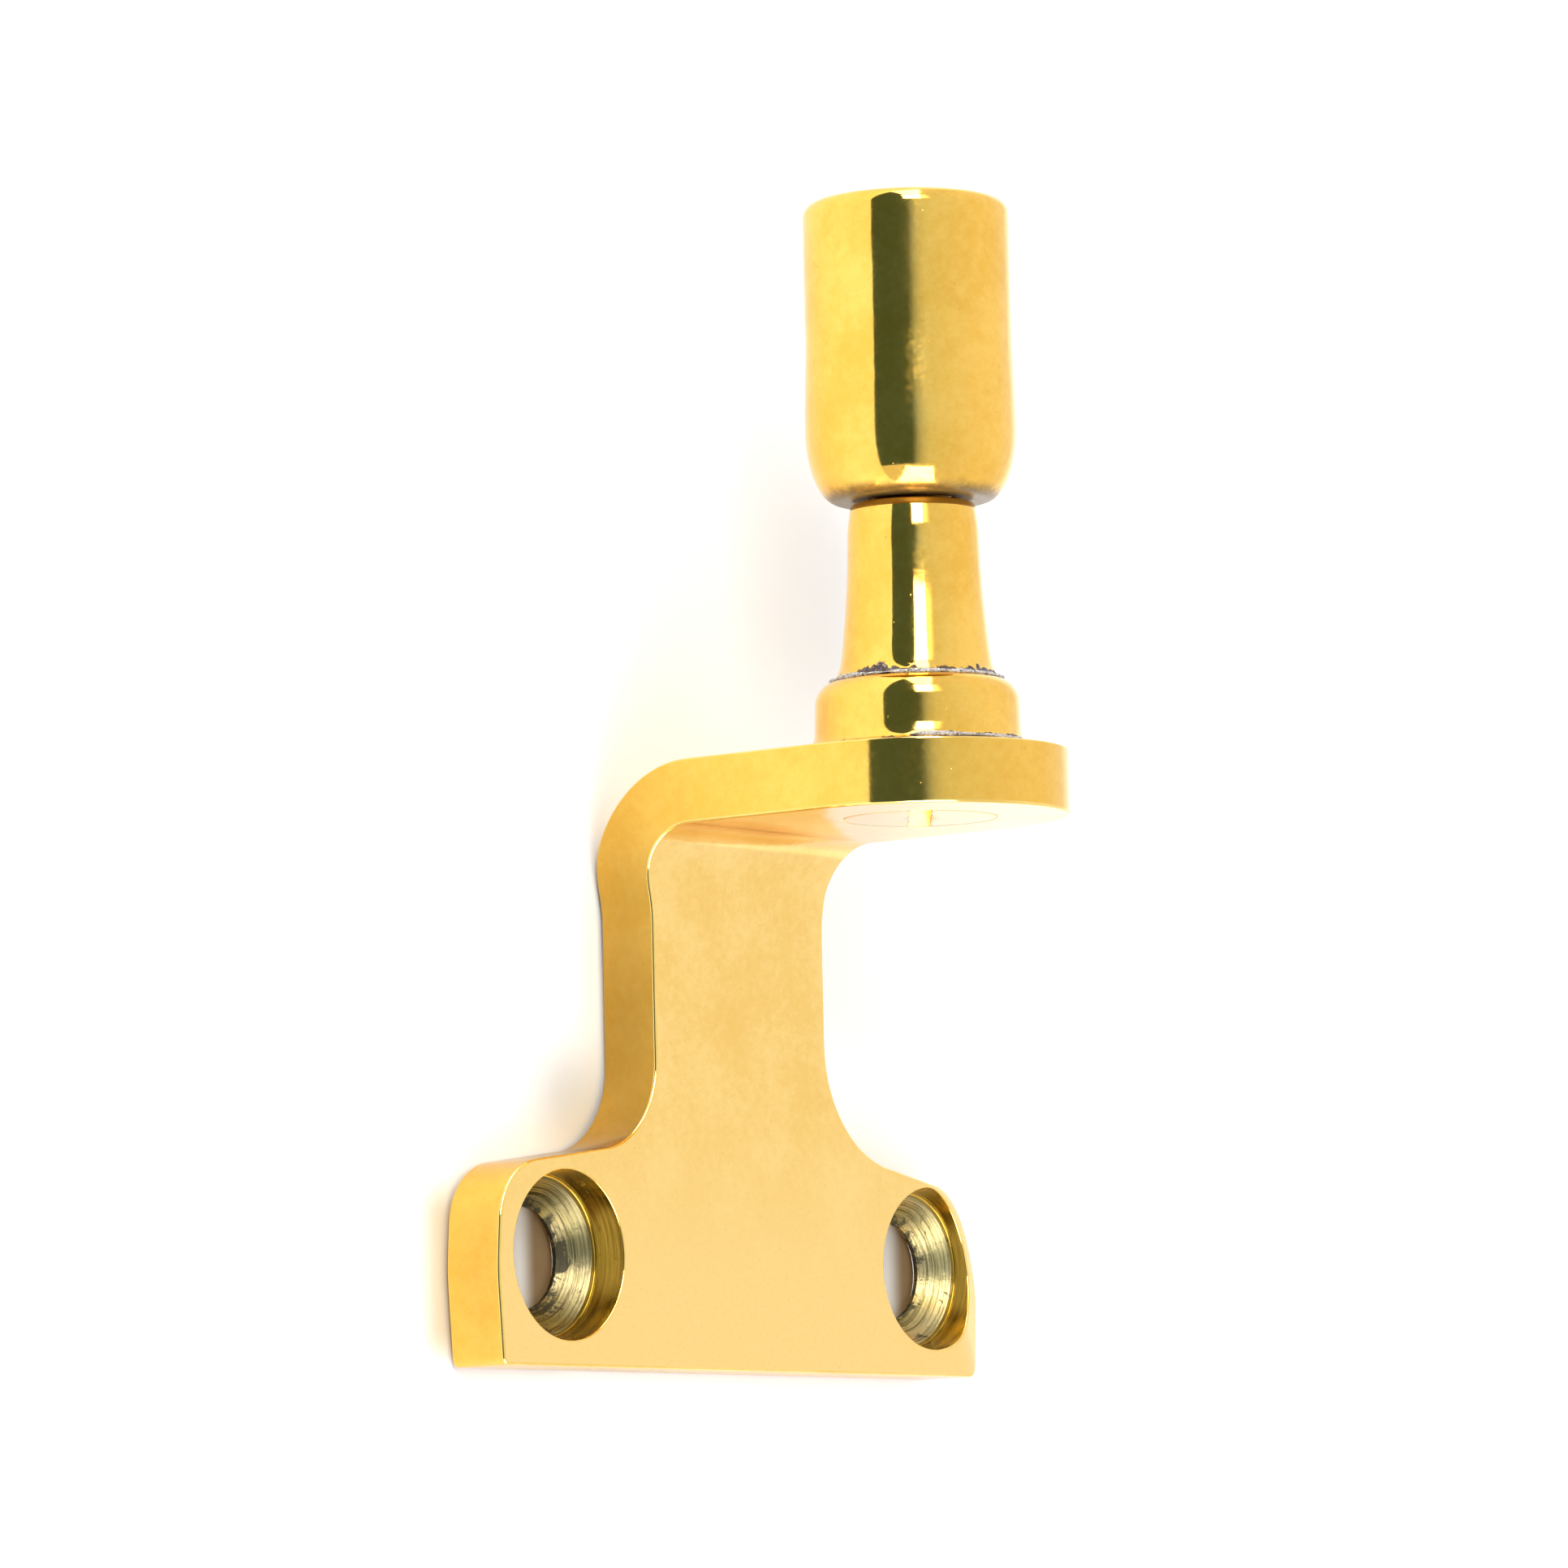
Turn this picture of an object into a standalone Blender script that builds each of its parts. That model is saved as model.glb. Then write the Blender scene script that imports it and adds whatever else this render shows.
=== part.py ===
"""Pin bracket of a casement window stay, in polished brass.

A T-footed angle bracket carries an upright pin: a turned collar, a tapered spindle and a
screw-down cap. A countersunk screw from under the leg clamps the collar and the spindle,
and a threaded stud in the top of the spindle carries the cap.

Frame: X along the foot, +Y out of the back (mounting) face, +Z up the pin.
Origin: on the back face, level with the two fixing holes, in the plane of the pin.
"""
import math

import bmesh
import bpy
from mathutils import Vector

for old in list(bpy.data.objects):
    bpy.data.objects.remove(old, do_unlink=True)

MM = 0.001

# ---- driving dimensions, millimetres ---------------------------------------------------
PLATE_T = 3.86            # thickness of the upright plate and its foot
FOOT_BOTTOM = -6.34       # lower edge of the foot
LEG_UNDER = 24.82         # underside of the leg
LEG_TOP = 28.59           # top of the leg
BEND_OUTER_R = 7.15       # back-to-top bend
BEND_INNER_R = 3.35       # front-to-underside bend
NECK_HALF = 7.9           # half width of the neck
LEG_HALF = 8.656          # half width of the leg, and the radius of its round end
PIN_Y = -17.392           # axis of the pin, in the plane x = 0

HOLE_X_LEFT = -15.96      # fixing holes
HOLE_X_RIGHT = 17.90
HOLE_Z_RIGHT = 0.10
HOLE_RIM_R = 4.85         # countersink at the front face
HOLE_WALL_R = 4.66        # foot of its near-straight wall
HOLE_WALL_DEPTH = 2.05
HOLE_STEP_R = 4.42        # start of the 90 degree cone
HOLE_THROUGH_R = 2.95

DRESS_U = 18.35           # dressed-back corner by the right-hand hole: where it starts,
DRESS_SLOPE = 0.35        # how fast it falls, the width of its blend and its direction
DRESS_BLEND = 1.03
DRESS_ANGLE = math.radians(18.4)

SCREW_HEAD_R = 4.5        # slotted countersunk screw, M5
SCREW_R = 2.45
SCREW_SLOT = 1.2
SCREW_SLOT_DEPTH = 1.15
SCREW_SLOT_ANGLE = math.radians(38.4)
SCREW_LENGTH = 12.0
SEAM = 0.1                # radial clearance round the fixed pieces
JOINT_GAP = 0.06          # hairline between clamped faces

COLLAR_H = 4.15
SPINDLE_TOP = 14.43       # above the leg
CAP_BOTTOM = 14.63        # above the leg
CAP_TOP = 32.11           # above the leg
CAP_R = 6.0
CAP_SWELL_R = 6.12
CAP_FLAT_R = 4.46         # flat ring under the cap
CAP_EDGE_R = 0.82
BORE_R = 2.6              # bores for the M5 screw and the M5 stud
STUD_R = 2.48
STUD_SUNK = 3.9           # length of stud inside the spindle
STUD_PROUD = 9.0          # length of stud above the spindle
CAP_BORE_DEPTH = 10.6

ARC_STEP = math.radians(7.5)
TURN_STEPS = 48

parts = bpy.data.collections.new("casement_stay_pin_bracket")
cutters = bpy.data.collections.new("cutters")
for collection in (parts, cutters):
    bpy.context.scene.collection.children.link(collection)


# ---- helpers ---------------------------------------------------------------------------
def brass(name, colour, roughness):
    material = bpy.data.materials.new(name)
    material.use_nodes = True
    shader = material.node_tree.nodes["Principled BSDF"]
    shader.inputs["Base Color"].default_value = (*colour, 1.0)
    shader.inputs["Metallic"].default_value = 1.0
    shader.inputs["Roughness"].default_value = roughness
    material.diffuse_color = (*colour, 1.0)
    return material


def fillet_outline(corners, step):
    """Closed outline through corners (x, y, radius), each rounded by an arc of its radius."""
    points = []
    count = len(corners)
    for i, (x, y, radius) in enumerate(corners):
        here = Vector((x, y))
        to_last = (Vector(corners[i - 1][:2]) - here).normalized()
        to_next = (Vector(corners[(i + 1) % count][:2]) - here).normalized()
        half = to_last.angle(to_next) / 2
        if radius <= 0 or half > math.radians(89.9):
            points.append(here)
            continue
        reach = radius / math.tan(half)
        centre = here + (to_last + to_next).normalized() * (radius / math.sin(half))
        first = here + to_last * reach - centre
        last = here + to_next * reach - centre
        start = math.atan2(first.y, first.x)
        sweep = math.atan2(last.y, last.x) - start
        sweep = (sweep + math.pi) % (2 * math.pi) - math.pi
        steps = max(2, math.ceil(abs(sweep) / step))
        for k in range(steps + 1):
            a = start + sweep * k / steps
            points.append(centre + Vector((math.cos(a), math.sin(a))) * radius)
    return points


def link(obj, collection, material=None):
    collection.objects.link(obj)
    if material is not None:
        obj.data.materials.append(material)
    if collection is cutters:
        obj.hide_render = True
        obj.display_type = "WIRE"
    return obj


def prism(name, outline, half_length, location, rotation, collection):
    """A flat outline in millimetres, extruded both ways, as a closed mesh."""
    curve = bpy.data.curves.new(name, "CURVE")
    curve.dimensions = "2D"
    curve.fill_mode = "BOTH"
    curve.extrude = half_length * MM
    spline = curve.splines.new("POLY")
    spline.points.add(len(outline) - 1)
    for point, (x, y) in zip(spline.points, outline):
        point.co = (x * MM, y * MM, 0.0, 1.0)
    spline.use_cyclic_u = True
    flat = bpy.data.objects.new(name + "_outline", curve)
    flat.location = [v * MM for v in location]
    flat.rotation_euler = rotation
    bpy.context.scene.collection.objects.link(flat)
    bpy.context.view_layer.update()
    evaluated = flat.evaluated_get(bpy.context.evaluated_depsgraph_get())
    mesh = bpy.data.meshes.new_from_object(evaluated)
    solid = bpy.data.objects.new(name, mesh)
    solid.matrix_world = flat.matrix_world.copy()
    bpy.data.objects.remove(flat)
    bm = bmesh.new()
    bm.from_mesh(mesh)
    bmesh.ops.remove_doubles(bm, verts=bm.verts, dist=1e-7)
    bmesh.ops.recalc_face_normals(bm, faces=bm.faces)
    bm.to_mesh(mesh)
    bm.free()
    return link(solid, collection)


def turned(name, profile, collection, material=None, steps=TURN_STEPS):
    """A profile of (radius, height) in millimetres, spun about its own Z axis."""
    mesh = bpy.data.meshes.new(name)
    closed = profile[0][0] > 0
    edges = [(i, i + 1) for i in range(len(profile) - 1)]
    if closed:
        edges.append((len(profile) - 1, 0))
    mesh.from_pydata([(r * MM, 0.0, z * MM) for r, z in profile], edges, [])
    obj = bpy.data.objects.new(name, mesh)
    link(obj, collection, material)
    spin = obj.modifiers.new("spin", "SCREW")
    spin.axis = "Z"
    spin.angle = 2 * math.pi
    spin.steps = steps
    spin.render_steps = steps
    spin.use_merge_vertices = True
    spin.merge_threshold = 1e-6
    spin.use_smooth_shade = True
    return obj


def boolean(obj, cutter, operation):
    modifier = obj.modifiers.new(operation.lower() + "_" + cutter.name, "BOOLEAN")
    modifier.operation = operation
    modifier.solver = "EXACT"
    modifier.object = cutter


def smooth(obj, angle):
    obj.data.shade_smooth()
    obj.data.set_sharp_from_angle(angle=math.radians(angle))


def arc(centre_r, centre_z, radius_r, radius_z, start, end, steps):
    """Points on an ellipse in the profile plane; angles in degrees from +r towards +z."""
    out = []
    for k in range(steps + 1):
        a = math.radians(start + (end - start) * k / steps)
        out.append((centre_r + radius_r * math.cos(a), centre_z + radius_z * math.sin(a)))
    return out


bracket_brass = brass("bracket_brass", (0.86, 0.60, 0.22), 0.16)
collar_brass = brass("collar_brass", (0.83, 0.60, 0.24), 0.14)
spindle_brass = brass("spindle_brass", (0.85, 0.61, 0.23), 0.13)
cap_brass = brass("cap_brass", (0.88, 0.64, 0.22), 0.12)
screw_brass = brass("screw_brass", (0.78, 0.57, 0.26), 0.25)
stud_brass = brass("stud_brass", (0.55, 0.40, 0.20), 0.38)


# ---- bracket ---------------------------------------------------------------------------
def side_outline(step):
    """Plate, bend and leg, seen along X: (y, z)."""
    return fillet_outline([
        (0.0, FOOT_BOTTOM, 0.0),
        (0.0, LEG_TOP, BEND_OUTER_R),
        (PIN_Y - LEG_HALF - 1.5, LEG_TOP, 0.0),
        (PIN_Y - LEG_HALF - 1.5, LEG_UNDER, 0.0),
        (-PLATE_T, LEG_UNDER, BEND_INNER_R),
        (-PLATE_T, FOOT_BOTTOM, 0.0),
    ], step)


def front_outline(step):
    """Foot, neck and leg width, seen along Y: (x, z)."""
    return fillet_outline([
        (-21.83, FOOT_BOTTOM, 0.5),
        (22.15, FOOT_BOTTOM, 1.0),
        (24.05, -0.9, 5.0),
        (22.95, 4.6, 5.0),
        (NECK_HALF, 6.8, 7.2),
        (NECK_HALF, 20.3, 8.0),
        (LEG_HALF, 23.6, 8.0),
        (LEG_HALF, LEG_TOP + 2.0, 0.0),
        (-LEG_HALF, LEG_TOP + 2.0, 0.0),
        (-LEG_HALF, 23.6, 8.0),
        (-NECK_HALF, 20.3, 8.0),
        (-NECK_HALF, 6.8, 5.3),
        (-21.75, 4.95, 3.9),
        (-22.2, -1.0, 14.0),
    ], step)


def plan_outline(step):
    """Round end of the leg, seen along Z, opening out clear of the foot: (x, y)."""
    last = math.radians(84.0)
    steps = math.ceil(2 * last / step)
    points = []
    for k in range(steps + 1):
        a = -last + 2 * last * k / steps
        points.append((LEG_HALF * math.sin(a), PIN_Y - LEG_HALF * math.cos(a)))
    edge = Vector(points[-1])
    run = Vector((math.cos(last), math.sin(last)))
    out = edge + run * ((-6.0 - edge.y) / run.y)
    points += [(out.x, out.y), (30.0, -6.0), (30.0, 4.0), (-30.0, 4.0), (-30.0, -6.0), (-out.x, out.y)]
    return points


def dressing(u):
    """How far the front face falls back at distance u along the dressing direction."""
    past = u - (DRESS_U - DRESS_BLEND)
    if past <= 0:
        return 0.0
    if past < 2 * DRESS_BLEND:
        return DRESS_SLOPE * past * past / (4 * DRESS_BLEND)
    return DRESS_SLOPE * (past - DRESS_BLEND)


bracket = prism("bracket", side_outline(ARC_STEP), 26.0, (0, 0, 0), (math.pi / 2, 0, math.pi / 2), parts)
bracket.data.materials.append(bracket_brass)

front = prism("front_shape", front_outline(ARC_STEP), 17.0, (0, -14.0, 0), (math.pi / 2, 0, 0), cutters)
plan = prism("plan_shape", plan_outline(ARC_STEP), 22.0, (0, 0, 12.0), (0, 0, 0), cutters)
boolean(bracket, front, "INTERSECT")
boolean(bracket, plan, "INTERSECT")

start_u = DRESS_U - DRESS_BLEND
dress_points = [(start_u - 0.6, -PLATE_T - 0.03)]
for k in range(1, 7):
    u = start_u + 0.3 + (2 * DRESS_BLEND - 0.3) * k / 6
    dress_points.append((u, -PLATE_T + dressing(u)))
dress_points += [(32.0, -PLATE_T + dressing(32.0)), (32.0, -PLATE_T - 3.0), (start_u - 0.6, -PLATE_T - 3.0)]
dress = prism("corner_dressing", dress_points, 30.0, (0, 0, 0), (0, -DRESS_ANGLE, 0), cutters)
boolean(bracket, dress, "DIFFERENCE")


def fixing_hole_profile():
    """Countersink seen from the back face outwards: (radius, distance in front of the back face)."""
    front_z = PLATE_T
    wall_z = front_z - HOLE_WALL_DEPTH
    slope = (HOLE_RIM_R - HOLE_WALL_R) / HOLE_WALL_DEPTH
    cone_z = wall_z - (HOLE_STEP_R - HOLE_THROUGH_R)
    return [
        (0.0, front_z + 1.0),
        (HOLE_RIM_R + slope * 1.0, front_z + 1.0),
        (HOLE_WALL_R, wall_z),
        (HOLE_STEP_R, wall_z),
        (HOLE_THROUGH_R, cone_z),
        (HOLE_THROUGH_R, -1.0),
        (0.0, -1.0),
    ]


for name, x, z in (("left_fixing_hole", HOLE_X_LEFT, 0.0), ("right_fixing_hole", HOLE_X_RIGHT, HOLE_Z_RIGHT)):
    hole = turned(name, fixing_hole_profile(), cutters)
    hole.location = (x * MM, 0.0, z * MM)
    hole.rotation_euler = (math.pi / 2, 0, 0)
    boolean(bracket, hole, "DIFFERENCE")

cone_h = SCREW_HEAD_R - SCREW_R
leg_hole = turned("leg_screw_hole", [
    (0.0, LEG_TOP + 1.0),
    (BORE_R + 0.05, LEG_TOP + 1.0),
    (BORE_R + 0.05, LEG_UNDER + SCREW_HEAD_R + SEAM - BORE_R - 0.05),
    (SCREW_HEAD_R + SEAM + 1.0, LEG_UNDER - 1.0),
    (0.0, LEG_UNDER - 1.0),
], cutters)
leg_hole.location = (0.0, PIN_Y * MM, 0.0)
boolean(bracket, leg_hole, "DIFFERENCE")
smooth(bracket, 30)

# ---- pieces on the pin: their origins lie on its axis ------------------------------------
pin_origin = (0.0, PIN_Y * MM, LEG_TOP * MM)

collar_outer = [(5.0, COLLAR_H)]
collar_outer += arc(4.95, 3.15, 0.96, COLLAR_H - 3.15, 90, 0, 7)[1:]
collar_outer += [(5.91, 2.2), (5.95, 1.85)]
collar_outer += arc(6.50, 1.75, 0.50, 1.1, 180, 262, 6)[1:]
collar_outer += [(6.45, 0.42), (6.42, JOINT_GAP)]
collar = turned("collar", collar_outer + [(BORE_R + 0.05, JOINT_GAP), (BORE_R + 0.05, COLLAR_H)], parts, collar_brass)
collar.location = pin_origin


def spindle_radius(h):
    """Outer radius of the spindle at height h above the leg: a flared skirt and a slow taper."""
    base = COLLAR_H + JOINT_GAP
    skirt = 0.52 * math.exp(-(h - base) / 0.42)
    taper = 4.38 - 0.62 * (1 - math.exp(-((h - base) / 4.6) ** 1.6))
    tip = 0.17 * max(0.0, (h - 12.8) / (SPINDLE_TOP - 12.8)) ** 1.1
    return taper + skirt - tip


spindle_base = COLLAR_H + JOINT_GAP
spindle_profile = [(0.0, SPINDLE_TOP - STUD_SUNK - 0.25), (BORE_R, SPINDLE_TOP - STUD_SUNK - 0.25), (BORE_R, SPINDLE_TOP)]
spindle_profile += [(spindle_radius(SPINDLE_TOP) - 0.12, SPINDLE_TOP), (spindle_radius(SPINDLE_TOP), SPINDLE_TOP - 0.12)]
for k in range(1, 19):
    share = (k / 18) ** 0.75
    h = (SPINDLE_TOP - 0.12) + (spindle_base - SPINDLE_TOP + 0.12) * share
    spindle_profile.append((spindle_radius(h), h))
screw_top = LEG_UNDER + SCREW_LENGTH - LEG_TOP
spindle_profile += [(BORE_R, spindle_base), (BORE_R, screw_top + 0.35), (0.0, screw_top + 0.35)]
spindle = turned("spindle", spindle_profile, parts, spindle_brass)
spindle.location = pin_origin

post_screw = turned("post_screw", [
    (0.0, LEG_UNDER + SCREW_LENGTH),
    (SCREW_R - 0.4, LEG_UNDER + SCREW_LENGTH),
    (SCREW_R, LEG_UNDER + SCREW_LENGTH - 0.4),
    (SCREW_R, LEG_UNDER + cone_h),
    (SCREW_HEAD_R, LEG_UNDER),
    (0.0, LEG_UNDER),
], parts, screw_brass)
post_screw.location = (0.0, PIN_Y * MM, 0.0)
bpy.ops.mesh.primitive_cube_add(size=1.0, location=(0.0, PIN_Y * MM, (LEG_UNDER + SCREW_SLOT_DEPTH / 2 - 0.5) * MM))
slot = bpy.context.object
slot.name = "screwdriver_slot"
slot.scale = (12.0 * MM, SCREW_SLOT * MM, (SCREW_SLOT_DEPTH + 1.0) * MM)
slot.rotation_euler = (0, 0, SCREW_SLOT_ANGLE)
for collection in list(slot.users_collection):
    collection.objects.unlink(slot)
link(slot, cutters)
boolean(post_screw, slot, "DIFFERENCE")

# ---- stud and cap: the cap turns and travels on the stud ---------------------------------
cap_stud = turned("cap_stud", [
    (0.0, SPINDLE_TOP + STUD_PROUD),
    (STUD_R - 0.5, SPINDLE_TOP + STUD_PROUD),
    (STUD_R, SPINDLE_TOP + STUD_PROUD - 0.5),
    (STUD_R, SPINDLE_TOP - STUD_SUNK + 0.4),
    (STUD_R - 0.4, SPINDLE_TOP - STUD_SUNK),
    (0.0, SPINDLE_TOP - STUD_SUNK),
], parts, stud_brass)
cap_stud.location = pin_origin

cap_profile = [(0.0, CAP_TOP)]
cap_profile += arc(CAP_R - CAP_EDGE_R, CAP_TOP - CAP_EDGE_R, CAP_EDGE_R, CAP_EDGE_R, 90, 0, 6)
for k in range(1, 6):
    s = k / 5
    cap_profile.append((CAP_R + (CAP_SWELL_R - CAP_R) * s * s * (3 - 2 * s), 22.4 - 3.2 * s))
cap_profile += arc(4.30, 18.9, CAP_SWELL_R - 4.30, 18.9 - CAP_BOTTOM, 0, -85.0, 11)[1:]
cap_profile += [
    (CAP_FLAT_R - 0.1, CAP_BOTTOM),
    (BORE_R + 0.35, CAP_BOTTOM),
    (BORE_R, CAP_BOTTOM + 0.35),
    (BORE_R, CAP_BOTTOM + CAP_BORE_DEPTH),
    (0.0, CAP_BOTTOM + CAP_BORE_DEPTH + 1.4),
]
cap = turned("cap", cap_profile, parts, cap_brass)
cap.location = pin_origin
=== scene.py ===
"""Looks of the casement stay pin bracket: hand-polished brass, lying on its back on a white table.

The fine meshes repeat the design's own dimensions (millimetres), each one riding on its CAD body.
"""
import math

import bmesh
import bpy
import numpy as np
from mathutils import Matrix, Vector, noise
from mathutils.geometry import delaunay_2d_cdt


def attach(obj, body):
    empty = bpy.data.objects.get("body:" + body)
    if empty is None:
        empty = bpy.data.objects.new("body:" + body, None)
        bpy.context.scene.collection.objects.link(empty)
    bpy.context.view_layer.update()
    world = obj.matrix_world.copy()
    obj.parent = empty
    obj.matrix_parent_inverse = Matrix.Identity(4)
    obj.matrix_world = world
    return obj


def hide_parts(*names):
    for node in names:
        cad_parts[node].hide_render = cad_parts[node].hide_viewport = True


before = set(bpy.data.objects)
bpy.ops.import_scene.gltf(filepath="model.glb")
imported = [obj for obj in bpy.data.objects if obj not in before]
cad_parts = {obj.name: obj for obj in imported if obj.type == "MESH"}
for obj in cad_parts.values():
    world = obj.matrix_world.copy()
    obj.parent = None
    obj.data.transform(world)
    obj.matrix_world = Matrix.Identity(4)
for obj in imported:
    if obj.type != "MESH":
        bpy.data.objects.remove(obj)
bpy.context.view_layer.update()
MM = 0.001

# ---- the design's dimensions, millimetres -------------------------------------------------
PLATE_T = 3.86
FOOT_BOTTOM = -6.34
LEG_UNDER = 24.82
LEG_TOP = 28.59
BEND_OUTER_R = 7.15
BEND_INNER_R = 3.35
NECK_HALF = 7.9
LEG_HALF = 8.656
PIN_Y = -17.392
HOLES = ((-15.96, 0.0), (17.90, 0.10))
HOLE_RIM_R = 4.85
HOLE_WALL_R = 4.66
HOLE_WALL_DEPTH = 2.05
HOLE_STEP_R = 4.42
HOLE_THROUGH_R = 2.95
DRESS_U = 18.35
DRESS_SLOPE = 0.35
DRESS_BLEND = 1.03
DRESS_ANGLE = math.radians(18.4)
SCREW_HEAD_R = 4.5
SCREW_R = 2.45
SCREW_SLOT = 1.2
SCREW_SLOT_DEPTH = 1.15
SCREW_SLOT_ANGLE = math.radians(38.4)
SCREW_LENGTH = 12.0
COLLAR_H = 4.15
JOINT_GAP = 0.06
SPINDLE_TOP = 14.43
CAP_BOTTOM = 14.63
CAP_TOP = 32.11
CAP_R = 6.0
CAP_SWELL_R = 6.12
CAP_FLAT_R = 4.46
CAP_EDGE_R = 0.82
BORE_R = 2.6
STUD_R = 2.48
STUD_SUNK = 3.9
STUD_PROUD = 9.0
THREAD_PITCH = 0.8
CAP_BORE_DEPTH = 10.6
EDGE = 0.17               # softened edges of the polished bracket

ARC_STEP = math.radians(2.5)
TURN_STEPS = 224


# ---- mesh helpers --------------------------------------------------------------------------
def fillet_outline(corners, step):
    points = []
    count = len(corners)
    for i, (x, y, radius) in enumerate(corners):
        here = Vector((x, y))
        to_last = (Vector(corners[i - 1][:2]) - here).normalized()
        to_next = (Vector(corners[(i + 1) % count][:2]) - here).normalized()
        half = to_last.angle(to_next) / 2
        if radius <= 0 or half > math.radians(89.9):
            points.append(here)
            continue
        reach = radius / math.tan(half)
        centre = here + (to_last + to_next).normalized() * (radius / math.sin(half))
        first = here + to_last * reach - centre
        last = here + to_next * reach - centre
        start = math.atan2(first.y, first.x)
        sweep = math.atan2(last.y, last.x) - start
        sweep = (sweep + math.pi) % (2 * math.pi) - math.pi
        steps = max(4, math.ceil(abs(sweep) / step))
        for k in range(steps + 1):
            a = start + sweep * k / steps
            points.append(centre + Vector((math.cos(a), math.sin(a))) * radius)
    return points


def new_object(name, mesh):
    obj = bpy.data.objects.new(name, mesh)
    bpy.context.scene.collection.objects.link(obj)
    return obj


def turned_mesh(name, profile, steps, wobble=None):
    """A profile of (radius, height) spun about Z; points with radius 0 close it at the axis."""
    verts, rings, faces = [], [], []
    for r, z in profile:
        if r <= 1e-9:
            rings.append([len(verts)])
            verts.append((0.0, 0.0, z * MM))
        else:
            ring = []
            for k in range(steps):
                a = 2 * math.pi * k / steps
                rr = r + (wobble(r, z, a) if wobble else 0.0)
                ring.append(len(verts))
                verts.append((rr * math.cos(a) * MM, rr * math.sin(a) * MM, z * MM))
            rings.append(ring)
    pairs = list(zip(rings, rings[1:]))
    if profile[0][0] > 1e-9:
        pairs.append((rings[-1], rings[0]))
    for a, b in pairs:
        for k in range(steps):
            n = (k + 1) % steps
            if len(a) == 1:
                faces.append((a[0], b[k], b[n]))
            elif len(b) == 1:
                faces.append((a[k], b[0], a[n]))
            else:
                faces.append((a[k], b[k], b[n], a[n]))
    mesh = bpy.data.meshes.new(name)
    mesh.from_pydata(verts, [], faces)
    bm = bmesh.new()
    bm.from_mesh(mesh)
    bmesh.ops.recalc_face_normals(bm, faces=bm.faces)
    bm.to_mesh(mesh)
    bm.free()
    return mesh


def refine(profile, step):
    """Adds points along a profile's straight runs, no further apart than step."""
    out = [profile[0]]
    for (r0, z0), (r1, z1) in zip(profile, profile[1:]):
        n = max(1, math.ceil(math.hypot(r1 - r0, z1 - z0) / step))
        out += [(r0 + (r1 - r0) * k / n, z0 + (z1 - z0) * k / n) for k in range(1, n + 1)]
    return out


def soften(profile, radius, steps=4, limit=math.radians(28)):
    """Rounds a profile's sharp corners."""
    out = [profile[0]]
    for i in range(1, len(profile) - 1):
        p, q, s = (Vector(profile[i + d]) for d in (-1, 0, 1))
        a, b = (p - q), (s - q)
        if a.length < 1e-6 or b.length < 1e-6 or q.x < 1e-6:
            out.append(profile[i])
            continue
        turn = math.pi - a.angle(b)
        if turn < limit:
            out.append(profile[i])
            continue
        half = a.angle(b) / 2
        reach = min(radius / math.tan(half), 0.45 * a.length, 0.45 * b.length)
        r = reach * math.tan(half)
        a.normalize(); b.normalize()
        centre = q + (a + b).normalized() * (r / math.sin(half))
        first, last = q + a * reach - centre, q + b * reach - centre
        start = math.atan2(first.y, first.x)
        sweep = (math.atan2(last.y, last.x) - start + math.pi) % (2 * math.pi) - math.pi
        for k in range(steps + 1):
            t = start + sweep * k / steps
            out.append((centre.x + r * math.cos(t), centre.y + r * math.sin(t)))
    out.append(profile[-1])
    return out


def arc(centre_r, centre_z, radius_r, radius_z, start, end, steps):
    out = []
    for k in range(steps + 1):
        a = math.radians(start + (end - start) * k / steps)
        out.append((centre_r + radius_r * math.cos(a), centre_z + radius_z * math.sin(a)))
    return out


def apply_modifiers(obj):
    """Replaces an object's mesh by its evaluated one."""
    bpy.context.view_layer.update()
    evaluated = obj.evaluated_get(bpy.context.evaluated_depsgraph_get())
    mesh = bpy.data.meshes.new_from_object(evaluated)
    obj.modifiers.clear()
    old = obj.data
    obj.data = mesh
    bpy.data.meshes.remove(old)
    return obj


def boolean(obj, cutter, operation):
    m = obj.modifiers.new(cutter.name, "BOOLEAN")
    m.operation, m.solver, m.object = operation, "EXACT", cutter


def bevel_weld(obj, width, segments=3, angle=30):
    m = obj.modifiers.new("soft_edges", "BEVEL")
    m.width, m.segments = width * MM, segments
    m.limit_method, m.angle_limit = "ANGLE", math.radians(angle)
    m.use_clamp_overlap = False
    m.miter_outer = "MITER_ARC"
    m.harden_normals = False
    w = obj.modifiers.new("flat_faces", "WEIGHTED_NORMAL")
    w.keep_sharp = False
    w.weight = 90


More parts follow.
